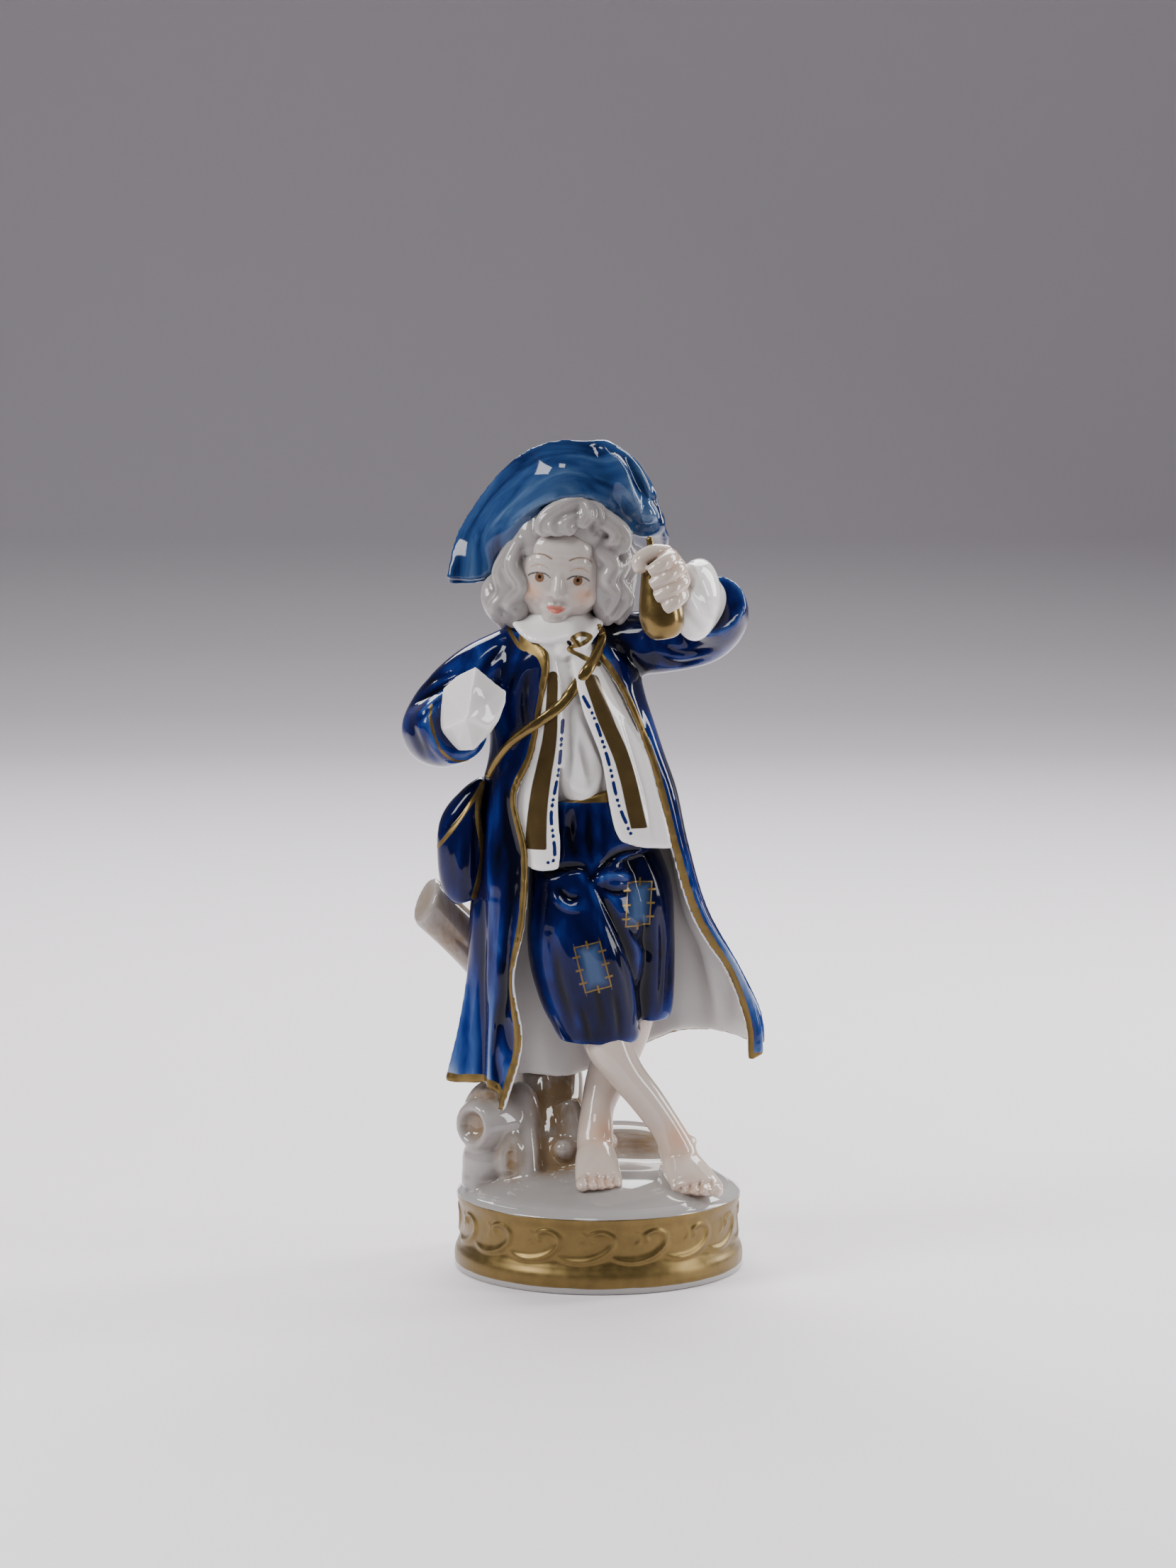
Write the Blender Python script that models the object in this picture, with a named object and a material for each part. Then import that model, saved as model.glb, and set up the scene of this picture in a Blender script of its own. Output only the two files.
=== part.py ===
"""A glazed porcelain figurine of a boy in a floppy hat and a long coat, leaning on a tree stump.

He holds a pear in his raised left hand, his right sleeve ends in a squared block, and he stands
barefoot on a round base with a running wave round its band. Slip-cast and luted, then fired as
one piece, so it is one solid. Metres, +Z up, origin on the floor at the middle of the base.
The boy looks along -Y, and his right side is at -X.
"""

import math

import bmesh
import bpy
import numpy as np
from mathutils import Matrix, Vector

MM = 0.001

# The base: a lathed drum with a domed top, in millimetres.
BASE_DIAMETER = 53.2
BAND_TOP_DIAMETER = 52.4
BAND_WAIST_DIAMETER = 51.2
RIM_HEIGHT = 1.2
SHOULDER_HEIGHT = 13.9
DOME_RISE = 5.5
FOOT_CHAMFER = 0.4
BASE_SEGMENTS = 60

# The running wave on the band, in millimetres.
WAVE_COUNT = 16
WAVE_FOOT_HEIGHT = 5.9
WAVE_CREST_HEIGHT = 11.3
WAVE_THICKNESS = 1.3
WAVE_RELIEF = 0.35
WAVE_TURN = 6.0

# The boy and his stump, from the top of the dome to the highest point of the hat's brim.
FIGURE_HEIGHT = 134.0
COAT_THICKNESS = 1.5
BRIM_THICKNESS = 1.5

# How finely the modelled forms are melted together, and how many faces are kept.
MELT_SIZE = 0.55
MELT_PASSES = 3
FIGURE_TRIANGLES = 6900

# The figure is drawn in millimetres above the floor, with its ground and its top at these heights.
DRAWN_GROUND = 19.4
DRAWN_TOP = 153.4

PORCELAIN_COLOUR = (0.80, 0.79, 0.78, 1.0)
GROW = FIGURE_HEIGHT / (DRAWN_TOP - DRAWN_GROUND)
GROUND_HEIGHT = SHOULDER_HEIGHT + DOME_RISE


def placed(point):
    """A drawn point, in millimetres, at its place on the real figure, in metres."""
    x, y, z = point
    return Vector((x * GROW, y * GROW, GROUND_HEIGHT + (z - DRAWN_GROUND) * GROW)) * MM


def through(points, count):
    """Count points on a smooth curve through the given ones, of any dimension."""
    points = np.asarray(points, float)
    before = 2 * points[0] - points[1]
    after = 2 * points[-1] - points[-2]
    padded = np.vstack([before, points, after])
    spans = len(points) - 1
    found = []
    for at in np.linspace(0, spans, count):
        i = min(int(at), spans - 1)
        t = at - i
        a, b, c, d = padded[i : i + 4]
        found.append(
            0.5 * (2 * b + (c - a) * t + (2 * a - 5 * b + 4 * c - d) * t**2 + (3 * b - a - 3 * c + d) * t**3)
        )
    return np.array(found)


def new_object(name, mesh):
    made = bpy.data.objects.new(name, mesh)
    bpy.context.scene.collection.objects.link(made)
    return made


def object_from(bm, name):
    """A mesh object from a bmesh whose faces are turned outwards."""
    bmesh.ops.recalc_face_normals(bm, faces=bm.faces)
    mesh = bpy.data.meshes.new(name)
    bm.to_mesh(mesh)
    bm.free()
    return new_object(name, mesh)


def applied(made):
    """The object with its modifiers worked into its mesh."""
    bpy.context.view_layer.update()
    graph = bpy.context.evaluated_depsgraph_get()
    mesh = bpy.data.meshes.new_from_object(made.evaluated_get(graph))
    made.modifiers.clear()
    made.data = mesh
    return made


def limb(name, stations, across=(0, 1, 0), sides=20, rings=6):
    """A closed round form along a path. A station is x, y, z, half width and half depth.

    The depth lies towards across, and the width square to it and to the path."""
    path = through(stations, (len(stations) - 1) * rings + 1)
    centres = path[:, :3]
    along = np.gradient(centres, axis=0)
    bm = bmesh.new()
    loops = []
    for centre, direction, (width, depth) in zip(centres, along, path[:, 3:]):
        direction = Vector(direction).normalized()
        side = direction.cross(Vector(across)).normalized()
        front = side.cross(direction).normalized()
        loop = []
        for i in range(sides):
            angle = 2 * math.pi * i / sides
            offset = side * (width * math.cos(angle)) + front * (depth * math.sin(angle))
            loop.append(bm.verts.new(placed(Vector(centre) + offset)))
        loops.append(loop)
    for lower, upper in zip(loops, loops[1:]):
        for i in range(sides):
            j = (i + 1) % sides
            bm.faces.new((lower[i], lower[j], upper[j], upper[i]))
    bm.faces.new(loops[0])
    bm.faces.new(loops[-1])
    return object_from(bm, name)


def ball(name, centre, radii, turn=(0, 0, 0)):
    """An ellipsoid, turned by degrees about X, Y and Z."""
    bm = bmesh.new()
    bmesh.ops.create_uvsphere(bm, u_segments=28, v_segments=18, radius=1)
    spin = Matrix.Rotation(math.radians(turn[2]), 4, "Z")
    spin = spin @ Matrix.Rotation(math.radians(turn[1]), 4, "Y")
    spin = spin @ Matrix.Rotation(math.radians(turn[0]), 4, "X")
    for vert in bm.verts:
        vert.co = placed(Vector(centre) + spin @ (vert.co * Vector(radii)))
    return object_from(bm, name)


def block(name, corners, rounding):
    """The hull of a few corners, with its edges rounded."""
    bm = bmesh.new()
    for corner in corners:
        bm.verts.new(placed(corner))
    bmesh.ops.convex_hull(bm, input=bm.verts)
    made = object_from(bm, name)
    bevel = made.modifiers.new("rounded", "BEVEL")
    bevel.width = rounding * MM
    bevel.segments = 2
    return applied(made)


def turned(name, start, direction, profile, sides=24):
    """A closed form turned about an axis. The profile gives radius and distance along the axis."""
    lean = Vector(direction).to_track_quat("Z", "Y").to_matrix()
    bm = bmesh.new()
    loops = []
    for radius, along in profile:
        loop = []
        for i in range(sides):
            angle = 2 * math.pi * i / sides
            offset = lean @ Vector((radius * math.cos(angle), radius * math.sin(angle), along))
            loop.append(bm.verts.new(placed(Vector(start) + offset)))
        loops.append(loop)
    for lower, upper in zip(loops, loops[1:]):
        for i in range(sides):
            j = (i + 1) % sides
            bm.faces.new((lower[i], lower[j], upper[j], upper[i]))
    bm.faces.new(loops[0])
    bm.faces.new(loops[-1])
    return object_from(bm, name)


def surface(columns, across_count, down_count, shape=None):
    """A grid of points over columns, each a list of points from the top down.

    shape(u, v, point, normal) may move a point, with u across and v down from 0 to 1."""
    down = np.array([through(column, down_count) for column in columns])
    grid = np.array([through(down[:, row], across_count) for row in range(down_count)])
    if shape is None:
        return grid
    across_step = np.gradient(grid, axis=1)
    down_step = np.gradient(grid, axis=0)
    normals = np.cross(across_step, down_step)
    normals /= np.maximum(np.linalg.norm(normals, axis=2, keepdims=True), 1e-9)
    for row in range(down_count):
        for i in range(across_count):
            u, v = i / (across_count - 1), row / (down_count - 1)
            grid[row, i] = shape(u, v, grid[row, i], normals[row, i])
    return grid


def cloth(name, grid, thickness):
    """A sheet over a grid of points, thickened to both sides."""
    bm = bmesh.new()
    verts = [[bm.verts.new(placed(point)) for point in row] for row in grid]
    for upper, lower in zip(verts, verts[1:]):
        for i in range(len(upper) - 1):
            bm.faces.new((upper[i], upper[i + 1], lower[i + 1], lower[i]))
    made = object_from(bm, name)
    wall = made.modifiers.new("wall", "SOLIDIFY")
    wall.thickness = thickness * MM
    wall.offset = 0
    return applied(made)


def boy_body():
    """The trunk of the body, filling the coat down to the hips."""
    torso = [
        (0.0, 0.5, 72.0, 11.0, 7.0),
        (-0.4, 0.4, 80.0, 12.8, 8.2),
        (-2.2, 0.2, 88.0, 13.6, 8.6),
        (-3.6, 0.2, 96.0, 13.8, 8.8),
        (-5.4, 0.2, 105.0, 12.6, 8.6),
        (-6.6, 0.4, 112.0, 10.6, 7.6),
        (-7.5, 0.0, 118.0, 6.2, 5.4),
        (-7.4, -0.5, 124.0, 4.8, 4.8),
    ]
    return [limb("torso", torso)]


def breeches():
    """Two full breeches legs, the right one in front, gathered at the knee."""
    right_leg = [
        (-3.0, -1.5, 84.0, 7.5, 6.5),
        (-3.4, -3.6, 76.0, 9.2, 7.4),
        (-2.6, -5.0, 68.0, 10.4, 8.2),
        (-2.3, -5.4, 60.0, 10.7, 8.2),
        (-1.4, -5.2, 53.0, 9.9, 7.6),
        (-0.4, -5.0, 48.0, 8.6, 7.0),
        (0.0, -4.8, 44.8, 7.8, 6.4),
        (0.0, -4.8, 43.0, 7.0, 5.8),
    ]
    left_leg = [
        (2.5, 0.5, 84.0, 8.0, 6.5),
        (4.6, 0.4, 77.0, 7.2, 7.0),
        (6.6, 0.4, 70.0, 6.9, 7.2),
        (8.0, 0.6, 62.0, 6.0, 6.8),
        (8.4, 0.8, 53.0, 5.6, 6.0),
        (8.6, 0.8, 48.0, 5.0, 5.4),
        (8.6, 0.8, 46.2, 4.2, 4.6),
    ]
    return [limb("right_breeches", right_leg), limb("left_breeches", left_leg)]


def toes(name, side, big_toe, spread):
    """Five toes in a slight arc, from the big toe out to the side."""
    made = []
    for i in range(5):
        size = 1.35 if i == 0 else 1.08 - 0.07 * i
        x = big_toe[0] + side * spread * (i + 0.25 * min(i, 1)) / 4.25
        y = big_toe[1] + 0.16 * i * i
        made.append(ball(f"{name}_{i}", (x, y, big_toe[2] - 0.06 * i), (size, 1.9, size)))
    return made


def bare_legs():
    """The shins and feet: the right leg crosses in front of the left one."""
    left_shin = [
        (7.0, 1.0, 50.0, 4.4, 4.4),
        (4.4, 0.8, 42.0, 4.4, 4.4),
        (1.4, 0.2, 34.5, 3.9, 3.9),
        (-0.2, -1.6, 28.9, 3.2, 3.4),
        (-0.7, -3.6, 24.6, 3.1, 3.4),
        (-0.6, -5.2, 20.5, 3.2, 3.4),
    ]
    left_foot = [
        (-0.8, -1.8, 20.0, 2.8, 2.8),
        (-0.6, -6.0, 21.0, 3.4, 3.6),
        (-0.3, -11.0, 20.4, 3.9, 3.0),
        (0.0, -15.0, 19.0, 4.2, 2.1),
        (0.1, -16.6, 18.5, 4.0, 1.5),
    ]
    right_shin = [
        (0.6, -4.8, 46.0, 4.8, 4.8),
        (2.2, -6.4, 41.5, 4.3, 4.6),
        (5.1, -6.8, 36.8, 3.4, 4.0),
        (8.9, -6.6, 31.9, 3.2, 3.6),
        (12.3, -6.4, 26.9, 2.8, 3.2),
        (14.6, -6.6, 22.4, 2.9, 3.3),
        (15.4, -7.0, 19.0, 3.0, 3.2),
    ]
    right_foot = [
        (13.6, -3.4, 18.6, 2.6, 2.8),
        (14.6, -6.6, 19.6, 3.2, 3.6),
        (16.2, -10.2, 19.0, 4.2, 3.0),
        (17.7, -13.4, 17.6, 4.9, 2.2),
        (18.0, -15.0, 17.1, 4.7, 1.5),
    ]
    upright = (0, 0, 1)
    made = [
        limb("left_shin", left_shin),
        limb("left_foot", left_foot, across=upright),
        limb("right_shin", right_shin),
        limb("right_foot", right_foot, across=upright),
    ]
    made += toes("left_toe", 1, (-2.9, -17.4, 18.4), 6.4)
    made += toes("right_toe", -1, (21.4, -15.2, 16.9), 7.2)
    return made


# The coat's long lines, from the collar down to the hem.
COAT_RIGHT_EDGE = [
    (-12.6, -5.5, 117.0), (-10.8, -8.6, 112.0), (-11.5, -9.6, 105.0), (-13.2, -10.2, 95.5),
    (-15.3, -10.4, 88.5), (-12.9, -11.4, 78.5), (-13.4, -12.0, 66.0), (-15.6, -11.4, 55.0),
    (-14.2, -10.6, 43.0), (-17.8, -10.2, 30.4),
]
COAT_RIGHT_FRONT = [
    (-15.0, -3.0, 118.0), (-15.6, -6.0, 112.0), (-16.2, -6.8, 105.0), (-17.0, -7.4, 95.5),
    (-18.6, -7.6, 88.5), (-18.4, -8.2, 78.5), (-18.8, -8.4, 66.0), (-19.6, -8.0, 55.0),
    (-19.4, -7.6, 44.0), (-19.6, -7.2, 34.6),
]
COAT_RIGHT_SIDE = [
    (-15.0, 0.5, 119.0), (-18.6, 0.5, 112.5), (-19.2, 0.5, 105.0), (-19.2, 0.0, 95.5),
    (-20.6, -0.8, 88.5), (-21.8, -1.0, 78.5), (-22.6, -1.8, 66.0), (-22.9, -2.0, 55.0),
    (-24.4, -2.4, 44.0), (-26.4, -3.2, 34.6),
]
COAT_BACK_RIGHT = [
    (-12.0, 4.0, 120.0), (-15.0, 6.4, 112.5), (-15.4, 7.6, 105.0), (-15.0, 7.8, 95.5),
    (-15.4, 7.6, 88.5), (-15.8, 7.0, 78.5), (-15.8, 5.4, 66.0), (-15.6, 4.4, 55.0),
    (-15.2, 3.6, 44.0), (-14.4, 2.6, 35.0),
]
COAT_BACK = [
    (-7.5, 5.4, 120.5), (-7.0, 8.2, 112.5), (-6.0, 9.0, 105.0), (-4.6, 9.2, 95.5),
    (-3.2, 9.4, 88.5), (-1.8, 10.0, 78.5), (-1.0, 9.4, 66.0), (-1.4, 8.0, 55.0),
    (-2.6, 6.2, 44.0), (-4.0, 4.6, 34.6),
]
COAT_BACK_LEFT = [
    (-2.5, 4.0, 120.0), (1.6, 7.0, 112.5), (3.4, 8.0, 105.0), (5.6, 8.2, 95.5),
    (7.8, 8.8, 88.5), (10.2, 9.8, 78.5), (12.4, 10.4, 66.0), (14.4, 10.2, 56.0),
    (15.4, 8.8, 47.0), (15.8, 7.0, 42.4),
]
COAT_LEFT_SIDE = [
    (0.6, 1.0, 119.0), (5.6, 1.4, 112.5), (8.0, 0.4, 104.5), (10.7, 0.2, 95.5),
    (13.0, 0.4, 88.5), (15.0, 1.4, 78.5), (18.2, 2.6, 66.0), (23.6, 3.2, 55.0),
    (27.2, 2.4, 47.0), (28.0, 0.8, 41.6),
]
COAT_LEFT_EDGE = [
    (-3.0, -5.5, 116.6), (1.4, -8.2, 112.0), (5.7, -8.8, 104.5), (9.2, -8.4, 95.5),
    (11.3, -8.2, 88.5), (13.8, -7.2, 78.5), (17.6, -5.2, 66.0), (24.0, -4.0, 55.0),
    (27.4, -3.8, 46.0), (28.2, -4.0, 38.6),
]


def coat_folds(u, v, point, normal):
    """Soft upright folds that grow from the waist to the hem."""
    depth = 1.0 * max(0.0, v - 0.3) ** 1.2
    wave = math.cos(2 * math.pi * (7.5 * u + 0.15)) + 0.4 * math.cos(2 * math.pi * (15 * u + 0.3 + v))
    return point + normal * depth * wave


def coat():
    """The long open coat, with its collar."""
    columns = [
        COAT_RIGHT_EDGE, COAT_RIGHT_FRONT, COAT_RIGHT_SIDE, COAT_BACK_RIGHT,
        COAT_BACK, COAT_BACK_LEFT, COAT_LEFT_SIDE, COAT_LEFT_EDGE,
    ]
    made = [cloth("coat", surface(columns, 64, 64, coat_folds), COAT_THICKNESS)]
    shoulders = [
        (-17.0, 1.0, 112.0, 5.4, 5.6),
        (-12.5, 1.0, 115.2, 5.0, 5.6),
        (-7.4, 0.8, 116.6, 4.6, 5.2),
        (-2.0, 1.0, 116.0, 5.0, 5.6),
        (3.0, 1.2, 114.0, 5.6, 5.8),
    ]
    made.append(limb("shoulders", shoulders))
    return made


def waistcoat():
    """The waistcoat's two hanging fronts, and the full shirt between them."""
    right_inner = [(-8.6, -8.4, 117.0), (-8.4, -9.8, 100.0), (-7.0, -10.0, 90.0), (-6.6, -11.0, 76.4)]
    right_outer = [(-12.0, -6.8, 116.6), (-13.4, -8.4, 100.0), (-15.4, -8.4, 90.0), (-13.6, -9.6, 75.6)]
    left_inner = [(-5.4, -8.4, 117.0), (-2.4, -10.0, 100.0), (1.2, -9.8, 89.0), (4.0, -9.6, 80.6)]
    left_outer = [(-0.6, -6.8, 116.6), (7.0, -7.8, 100.0), (10.8, -7.4, 89.0), (12.6, -7.0, 79.2)]
    shirt = [
        (-6.8, -4.6, 113.0, 3.0, 4.6),
        (-6.0, -5.0, 102.0, 4.0, 5.0),
        (-4.0, -5.2, 93.0, 4.6, 5.2),
        (-3.0, -4.8, 88.0, 4.0, 4.6),
    ]
    return [
        cloth("right_front", surface([right_inner, right_outer], 6, 20), 1.4),
        cloth("left_front", surface([left_inner, left_outer], 6, 20), 1.4),
        limb("shirt", shirt),
    ]


def right_arm():
    """The right sleeve, bent at the elbow, and the squared block that it ends in."""
    sleeve = [
        (-15.5, 1.0, 112.4, 6.2, 6.0),
        (-22.0, 0.6, 109.4, 6.0, 5.8),
        (-27.2, -0.4, 104.6, 6.1, 6.0),
        (-29.6, -3.0, 100.4, 6.3, 6.3),
        (-28.4, -6.8, 100.2, 6.7, 6.7),
        (-26.2, -10.6, 101.8, 6.9, 6.9),
        (-25.4, -12.0, 102.4, 5.9, 5.9),
    ]
    corners = [
        (-21.8, -17.5, 112.4), (-16.4, -17.0, 107.8), (-17.6, -16.5, 102.2), (-22.8, -16.5, 96.8),
        (-26.4, -14.0, 96.4), (-28.8, -13.0, 100.6), (-28.4, -12.0, 107.2), (-25.8, -13.0, 110.0),
        (-23.4, -21.5, 104.4), (-21.8, -20.4, 109.0),
        (-19.0, -11.0, 106.0), (-21.0, -9.5, 98.6), (-27.0, -8.5, 99.0), (-24.0, -9.0, 108.0),
    ]
    return [limb("right_sleeve", sleeve, across=(0.2, 0.4, 1)), block("sleeve_block", corners, 0.6)]


def left_arm():
    """The raised left arm: a coat sleeve and the shirt's full cuff."""
    sleeve = [
        (1.0, 1.4, 113.6, 6.2, 6.0),
        (7.0, 1.2, 115.2, 5.9, 6.0),
        (13.5, 0.4, 115.8, 5.3, 5.6),
        (19.0, -1.8, 117.6, 5.4, 5.8),
        (21.2, -5.8, 120.8, 5.9, 6.0),
        (20.4, -9.6, 123.6, 6.2, 6.2),
    ]
    cuff = [
        (20.6, -8.6, 123.4, 4.8, 5.0),
        (19.4, -11.4, 124.2, 6.8, 6.8),
        (17.4, -14.6, 125.2, 6.9, 6.8),
        (15.6, -17.0, 126.6, 5.0, 5.2),
        (14.0, -18.6, 127.8, 3.2, 3.6),
    ]
    return [
        limb("left_sleeve", sleeve, across=(0, 0.4, 1)),
        limb("left_cuff", cuff, across=(0.1, 0.3, 1)),
    ]


def pear_in_hand():
    """The left hand closed round the neck of a pear."""
    profile = [
        (0.5, -8.6), (2.4, -8.3), (3.6, -6.6), (4.05, -4.4), (3.7, -2.2),
        (2.8, 0.6), (2.0, 4.0), (1.5, 7.2), (0.9, 8.3), (0.4, 9.2),
    ]
    pear = turned("pear", (10.2, -21.4, 127.2), (-0.12, 0, 1), [tuple(p) for p in through(profile, 28)])
    thumb = [(11.6, -19.4, 132.6, 1.5, 1.5), (8.6, -20.6, 132.8, 1.6, 1.6), (7.6, -21.6, 131.4, 1.4, 1.4)]
    made = [pear, ball("palm", (12.6, -19.6, 129.4), (2.9, 2.6, 4.6), (0, -10, 0)), limb("thumb", thumb)]
    for i in range(4):
        drop = 2.3 * i
        finger = [
            (14.8 - 0.35 * i, -19.8, 132.4 - drop, 1.3, 1.3),
            (14.2 - 0.35 * i, -22.6, 132.4 - drop, 1.4, 1.4),
            (12.0 - 0.1 * i, -24.4, 131.9 - drop, 1.4, 1.4),
            (9.8 + 0.35 * i, -24.6, 131.3 - drop, 1.1, 1.1),
        ]
        made.append(limb(f"finger_{i}", finger, across=(0, 0, 1), sides=12))
    return made


def head():
    """The bowed head, with a plain child's face of even proportions."""
    tilt = (8, 5, 0)
    made = [
        ball("skull", (-7.0, 0.5, 130.6), (9.4, 9.6, 10.4), tilt),
        ball("face", (-7.2, -3.4, 127.6), (7.8, 6.4, 8.8), tilt),
        ball("brow", (-7.0, -6.8, 131.6), (5.4, 2.8, 2.4), tilt),
        ball("nose", (-7.5, -9.9, 127.4), (1.0, 1.3, 1.8), tilt),
        ball("lips", (-7.7, -9.2, 123.6), (1.9, 1.0, 0.8), tilt),
        ball("chin", (-7.9, -7.8, 121.2), (2.3, 2.2, 1.9), tilt),
    ]
    for side in (-1, 1):
        made.append(ball(f"cheek_{side}", (-7.5 + 3.9 * side, -6.6, 125.2 - 0.3 * side), (2.9, 2.4, 2.8)))
    return made


def lock(name, points, radius, curl, turns, phase):
    """A lock of hair that winds about its line and swells in its middle."""
    line = through(points, 8 * (len(points) - 1) + 1)
    stations = []
    for i, (x, y, z) in enumerate(line):
        share = i / (len(line) - 1)
        angle = 2 * math.pi * turns * share + phase
        size = radius * (0.55 + 0.6 * math.sin(math.pi * share) ** 0.7)
        stations.append((x + curl * math.cos(angle), y + curl * math.sin(angle), z, size, size))
    return limb(name, stations, sides=10, rings=1)


def hair():
    """Loose curls that fall from under the hat to the collar."""
    lines = [
        ([(-13.4, -6.2, 139.0), (-16.6, -5.4, 131.6), (-18.6, -4.6, 125.4), (-18.0, -4.2, 120.2)], 2.2),
        ([(-15.2, -3.0, 139.0), (-19.0, -2.6, 131.0), (-20.6, -2.2, 124.6), (-19.6, -1.8, 119.4)], 2.4),
        ([(-15.4, 1.6, 139.0), (-18.4, 2.4, 131.0), (-18.8, 2.6, 123.0), (-16.6, 3.0, 117.4)], 2.6),
        ([(-12.6, 6.4, 138.0), (-13.6, 8.6, 130.0), (-13.4, 8.6, 122.0), (-12.6, 7.6, 116.4)], 2.8),
        ([(-7.0, 8.6, 138.0), (-7.2, 10.4, 130.0), (-7.2, 10.0, 121.6), (-7.2, 8.4, 115.6)], 2.9),
        ([(-1.4, 6.8, 138.0), (-0.6, 8.8, 130.0), (-0.8, 8.6, 122.0), (-1.6, 7.6, 116.4)], 2.8),
        ([(1.8, 2.4, 139.0), (4.2, 3.2, 131.0), (4.2, 3.2, 123.0), (2.8, 3.4, 117.0)], 2.5),
        ([(1.6, -2.8, 139.0), (4.4, -2.2, 132.0), (4.6, -1.8, 124.6), (3.2, -1.8, 118.4)], 2.3),
        ([(0.2, -6.0, 139.6), (3.0, -5.4, 133.2), (3.6, -4.6, 126.6), (2.2, -4.4, 119.6)], 2.0),
    ]
    made = [lock(f"lock_{i}", points, radius, 0.7, 1.6, 1.3 * i) for i, (points, radius) in enumerate(lines)]
    fringe = [
        ([(-12.6, -3.6, 142.6), (-14.6, -7.2, 138.6), (-13.8, -8.0, 135.6)], 2.0),
        ([(-8.6, -5.6, 143.6), (-12.0, -9.0, 139.8), (-11.2, -9.6, 136.4)], 2.1),
        ([(-6.2, -6.2, 143.6), (-8.4, -10.0, 140.2), (-6.6, -10.4, 136.6)], 2.2),
        ([(-4.2, -6.4, 143.6), (-3.2, -9.8, 140.4), (-1.4, -9.4, 137.4)], 2.2),
        ([(-1.6, -5.6, 143.0), (1.0, -8.2, 140.0), (1.8, -7.6, 136.4)], 1.9),
    ]
    made += [lock(f"fringe_{i}", points, radius, 0.4, 0.8, 0.9 * i) for i, (points, radius) in enumerate(fringe)]
    made.append(ball("hair_cap", (-6.6, -1.4, 136.0), (10.2, 8.2, 8.0)))
    made.append(ball("back_hair", (-7.0, 4.0, 127.6), (10.0, 6.4, 9.6)))
    return made


# The hat's brim, clockwise from the boy's right as seen from above: where it leaves the crown,
# its middle, and its outer edge.
BRIM_RINGS = [
    ((-17.4, -2.0, 131.6), (-21.0, -1.6, 127.6), (-27.6, -0.4, 127.2)),
    ((-16.0, -6.2, 136.0), (-20.6, -5.8, 135.0), (-24.8, -2.4, 137.0)),
    ((-11.6, -9.2, 140.6), (-14.6, -9.6, 144.0), (-18.4, -5.2, 145.8)),
    ((-6.2, -10.2, 142.6), (-7.0, -11.2, 147.6), (-9.6, -7.0, 152.2)),
    ((-1.2, -9.4, 142.4), (0.2, -10.0, 147.4), (0.8, -6.4, 152.4)),
    ((3.0, -6.6, 139.2), (6.0, -6.8, 143.2), (8.6, -3.6, 146.2)),
    ((5.0, -1.6, 136.0), (8.6, -1.6, 138.0), (11.6, 0.6, 137.0)),
    ((4.8, 4.8, 136.4), (8.0, 7.8, 135.4), (10.8, 8.8, 131.8)),
    ((0.8, 9.6, 137.4), (2.6, 13.6, 136.2), (4.6, 16.0, 133.4)),
    ((-6.2, 11.4, 137.6), (-6.4, 15.6, 136.6), (-6.8, 18.4, 134.0)),
    ((-12.8, 9.6, 136.8), (-15.2, 13.6, 135.2), (-17.8, 15.8, 132.2)),
    ((-16.8, 4.4, 133.8), (-20.8, 6.4, 131.2), (-24.6, 7.8, 128.6)),
]


def brim_waves(u, v, point, normal):
    """A soft rolled fold in the brim over his left eye, and slacker waves elsewhere."""
    along = u - 0.5 + 0.14 * v
    roll = 2.8 * (1 - 0.7 * v) * min(1, v / 0.15) * math.exp(-((along / 0.026) ** 2))
    dip = 1.2 * math.exp(-(((along + 0.05) / 0.028) ** 2)) * min(1, v / 0.3)
    slack = 0.5 * v * math.sin(2 * math.pi * (5 * u + 0.2))
    return point + np.array((0.45, -0.85, 0.1)) * (roll - dip) + normal * slack


def hat():
    """A soft felt hat: a low crown and a wide brim, swept up in front."""
    rings = BRIM_RINGS + BRIM_RINGS[:1]
    grid = surface([list(spoke) for spoke in rings], 96, 14, brim_waves)
    made = [cloth("brim", grid, BRIM_THICKNESS)]
    made.append(ball("crown", (-6.0, 1.6, 139.6), (10.6, 10.6, 9.4), (-6, 4, 0)))
    return made


def collar():
    """The shirt's soft turned-down collar, tied in front."""
    inner = []
    outer = []
    for i in range(9):
        angle = math.radians(-66 + 132 * i / 8)
        inner.append((-7.4 + 5.6 * math.sin(angle), -0.6 - 5.6 * math.cos(angle), 119.4))
        outer.append((-7.4 + 8.6 * math.sin(angle), -1.4 - 8.4 * math.cos(angle), 116.4 - 1.2 * math.cos(angle)))
    columns = [[a, b] for a, b in zip(inner, outer)]
    return [cloth("collar", surface(columns, 30, 6), 1.6), ball("tie", (-6.8, -9.0, 115.6), (1.3, 1.2, 1.6))]


def satchel():
    """The bag at the right hip, and the strap that crosses the chest to carry it."""
    bag = [
        (-20.8, -4.6, 91.0, 1.0, 1.4),
        (-22.8, -3.8, 87.4, 2.8, 3.2),
        (-24.6, -3.2, 82.4, 4.5, 4.4),
        (-25.0, -3.0, 76.0, 4.5, 4.6),
        (-24.6, -3.0, 71.0, 4.0, 4.0),
        (-23.8, -3.2, 68.4, 2.4, 2.6),
    ]
    strap = [
        (-1.4, -7.2, 118.2, 0.8, 1.5),
        (-1.2, -9.6, 112.0, 0.8, 1.5),
        (-5.0, -10.8, 105.4, 0.8, 1.5),
        (-10.6, -11.0, 101.6, 0.8, 1.5),
        (-15.6, -9.2, 97.0, 0.8, 1.4),
        (-19.6, -6.6, 91.6, 0.8, 1.2),
    ]
    return [limb("bag", bag), limb("strap", strap, across=(0, 0, 1), sides=12)]


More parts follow.
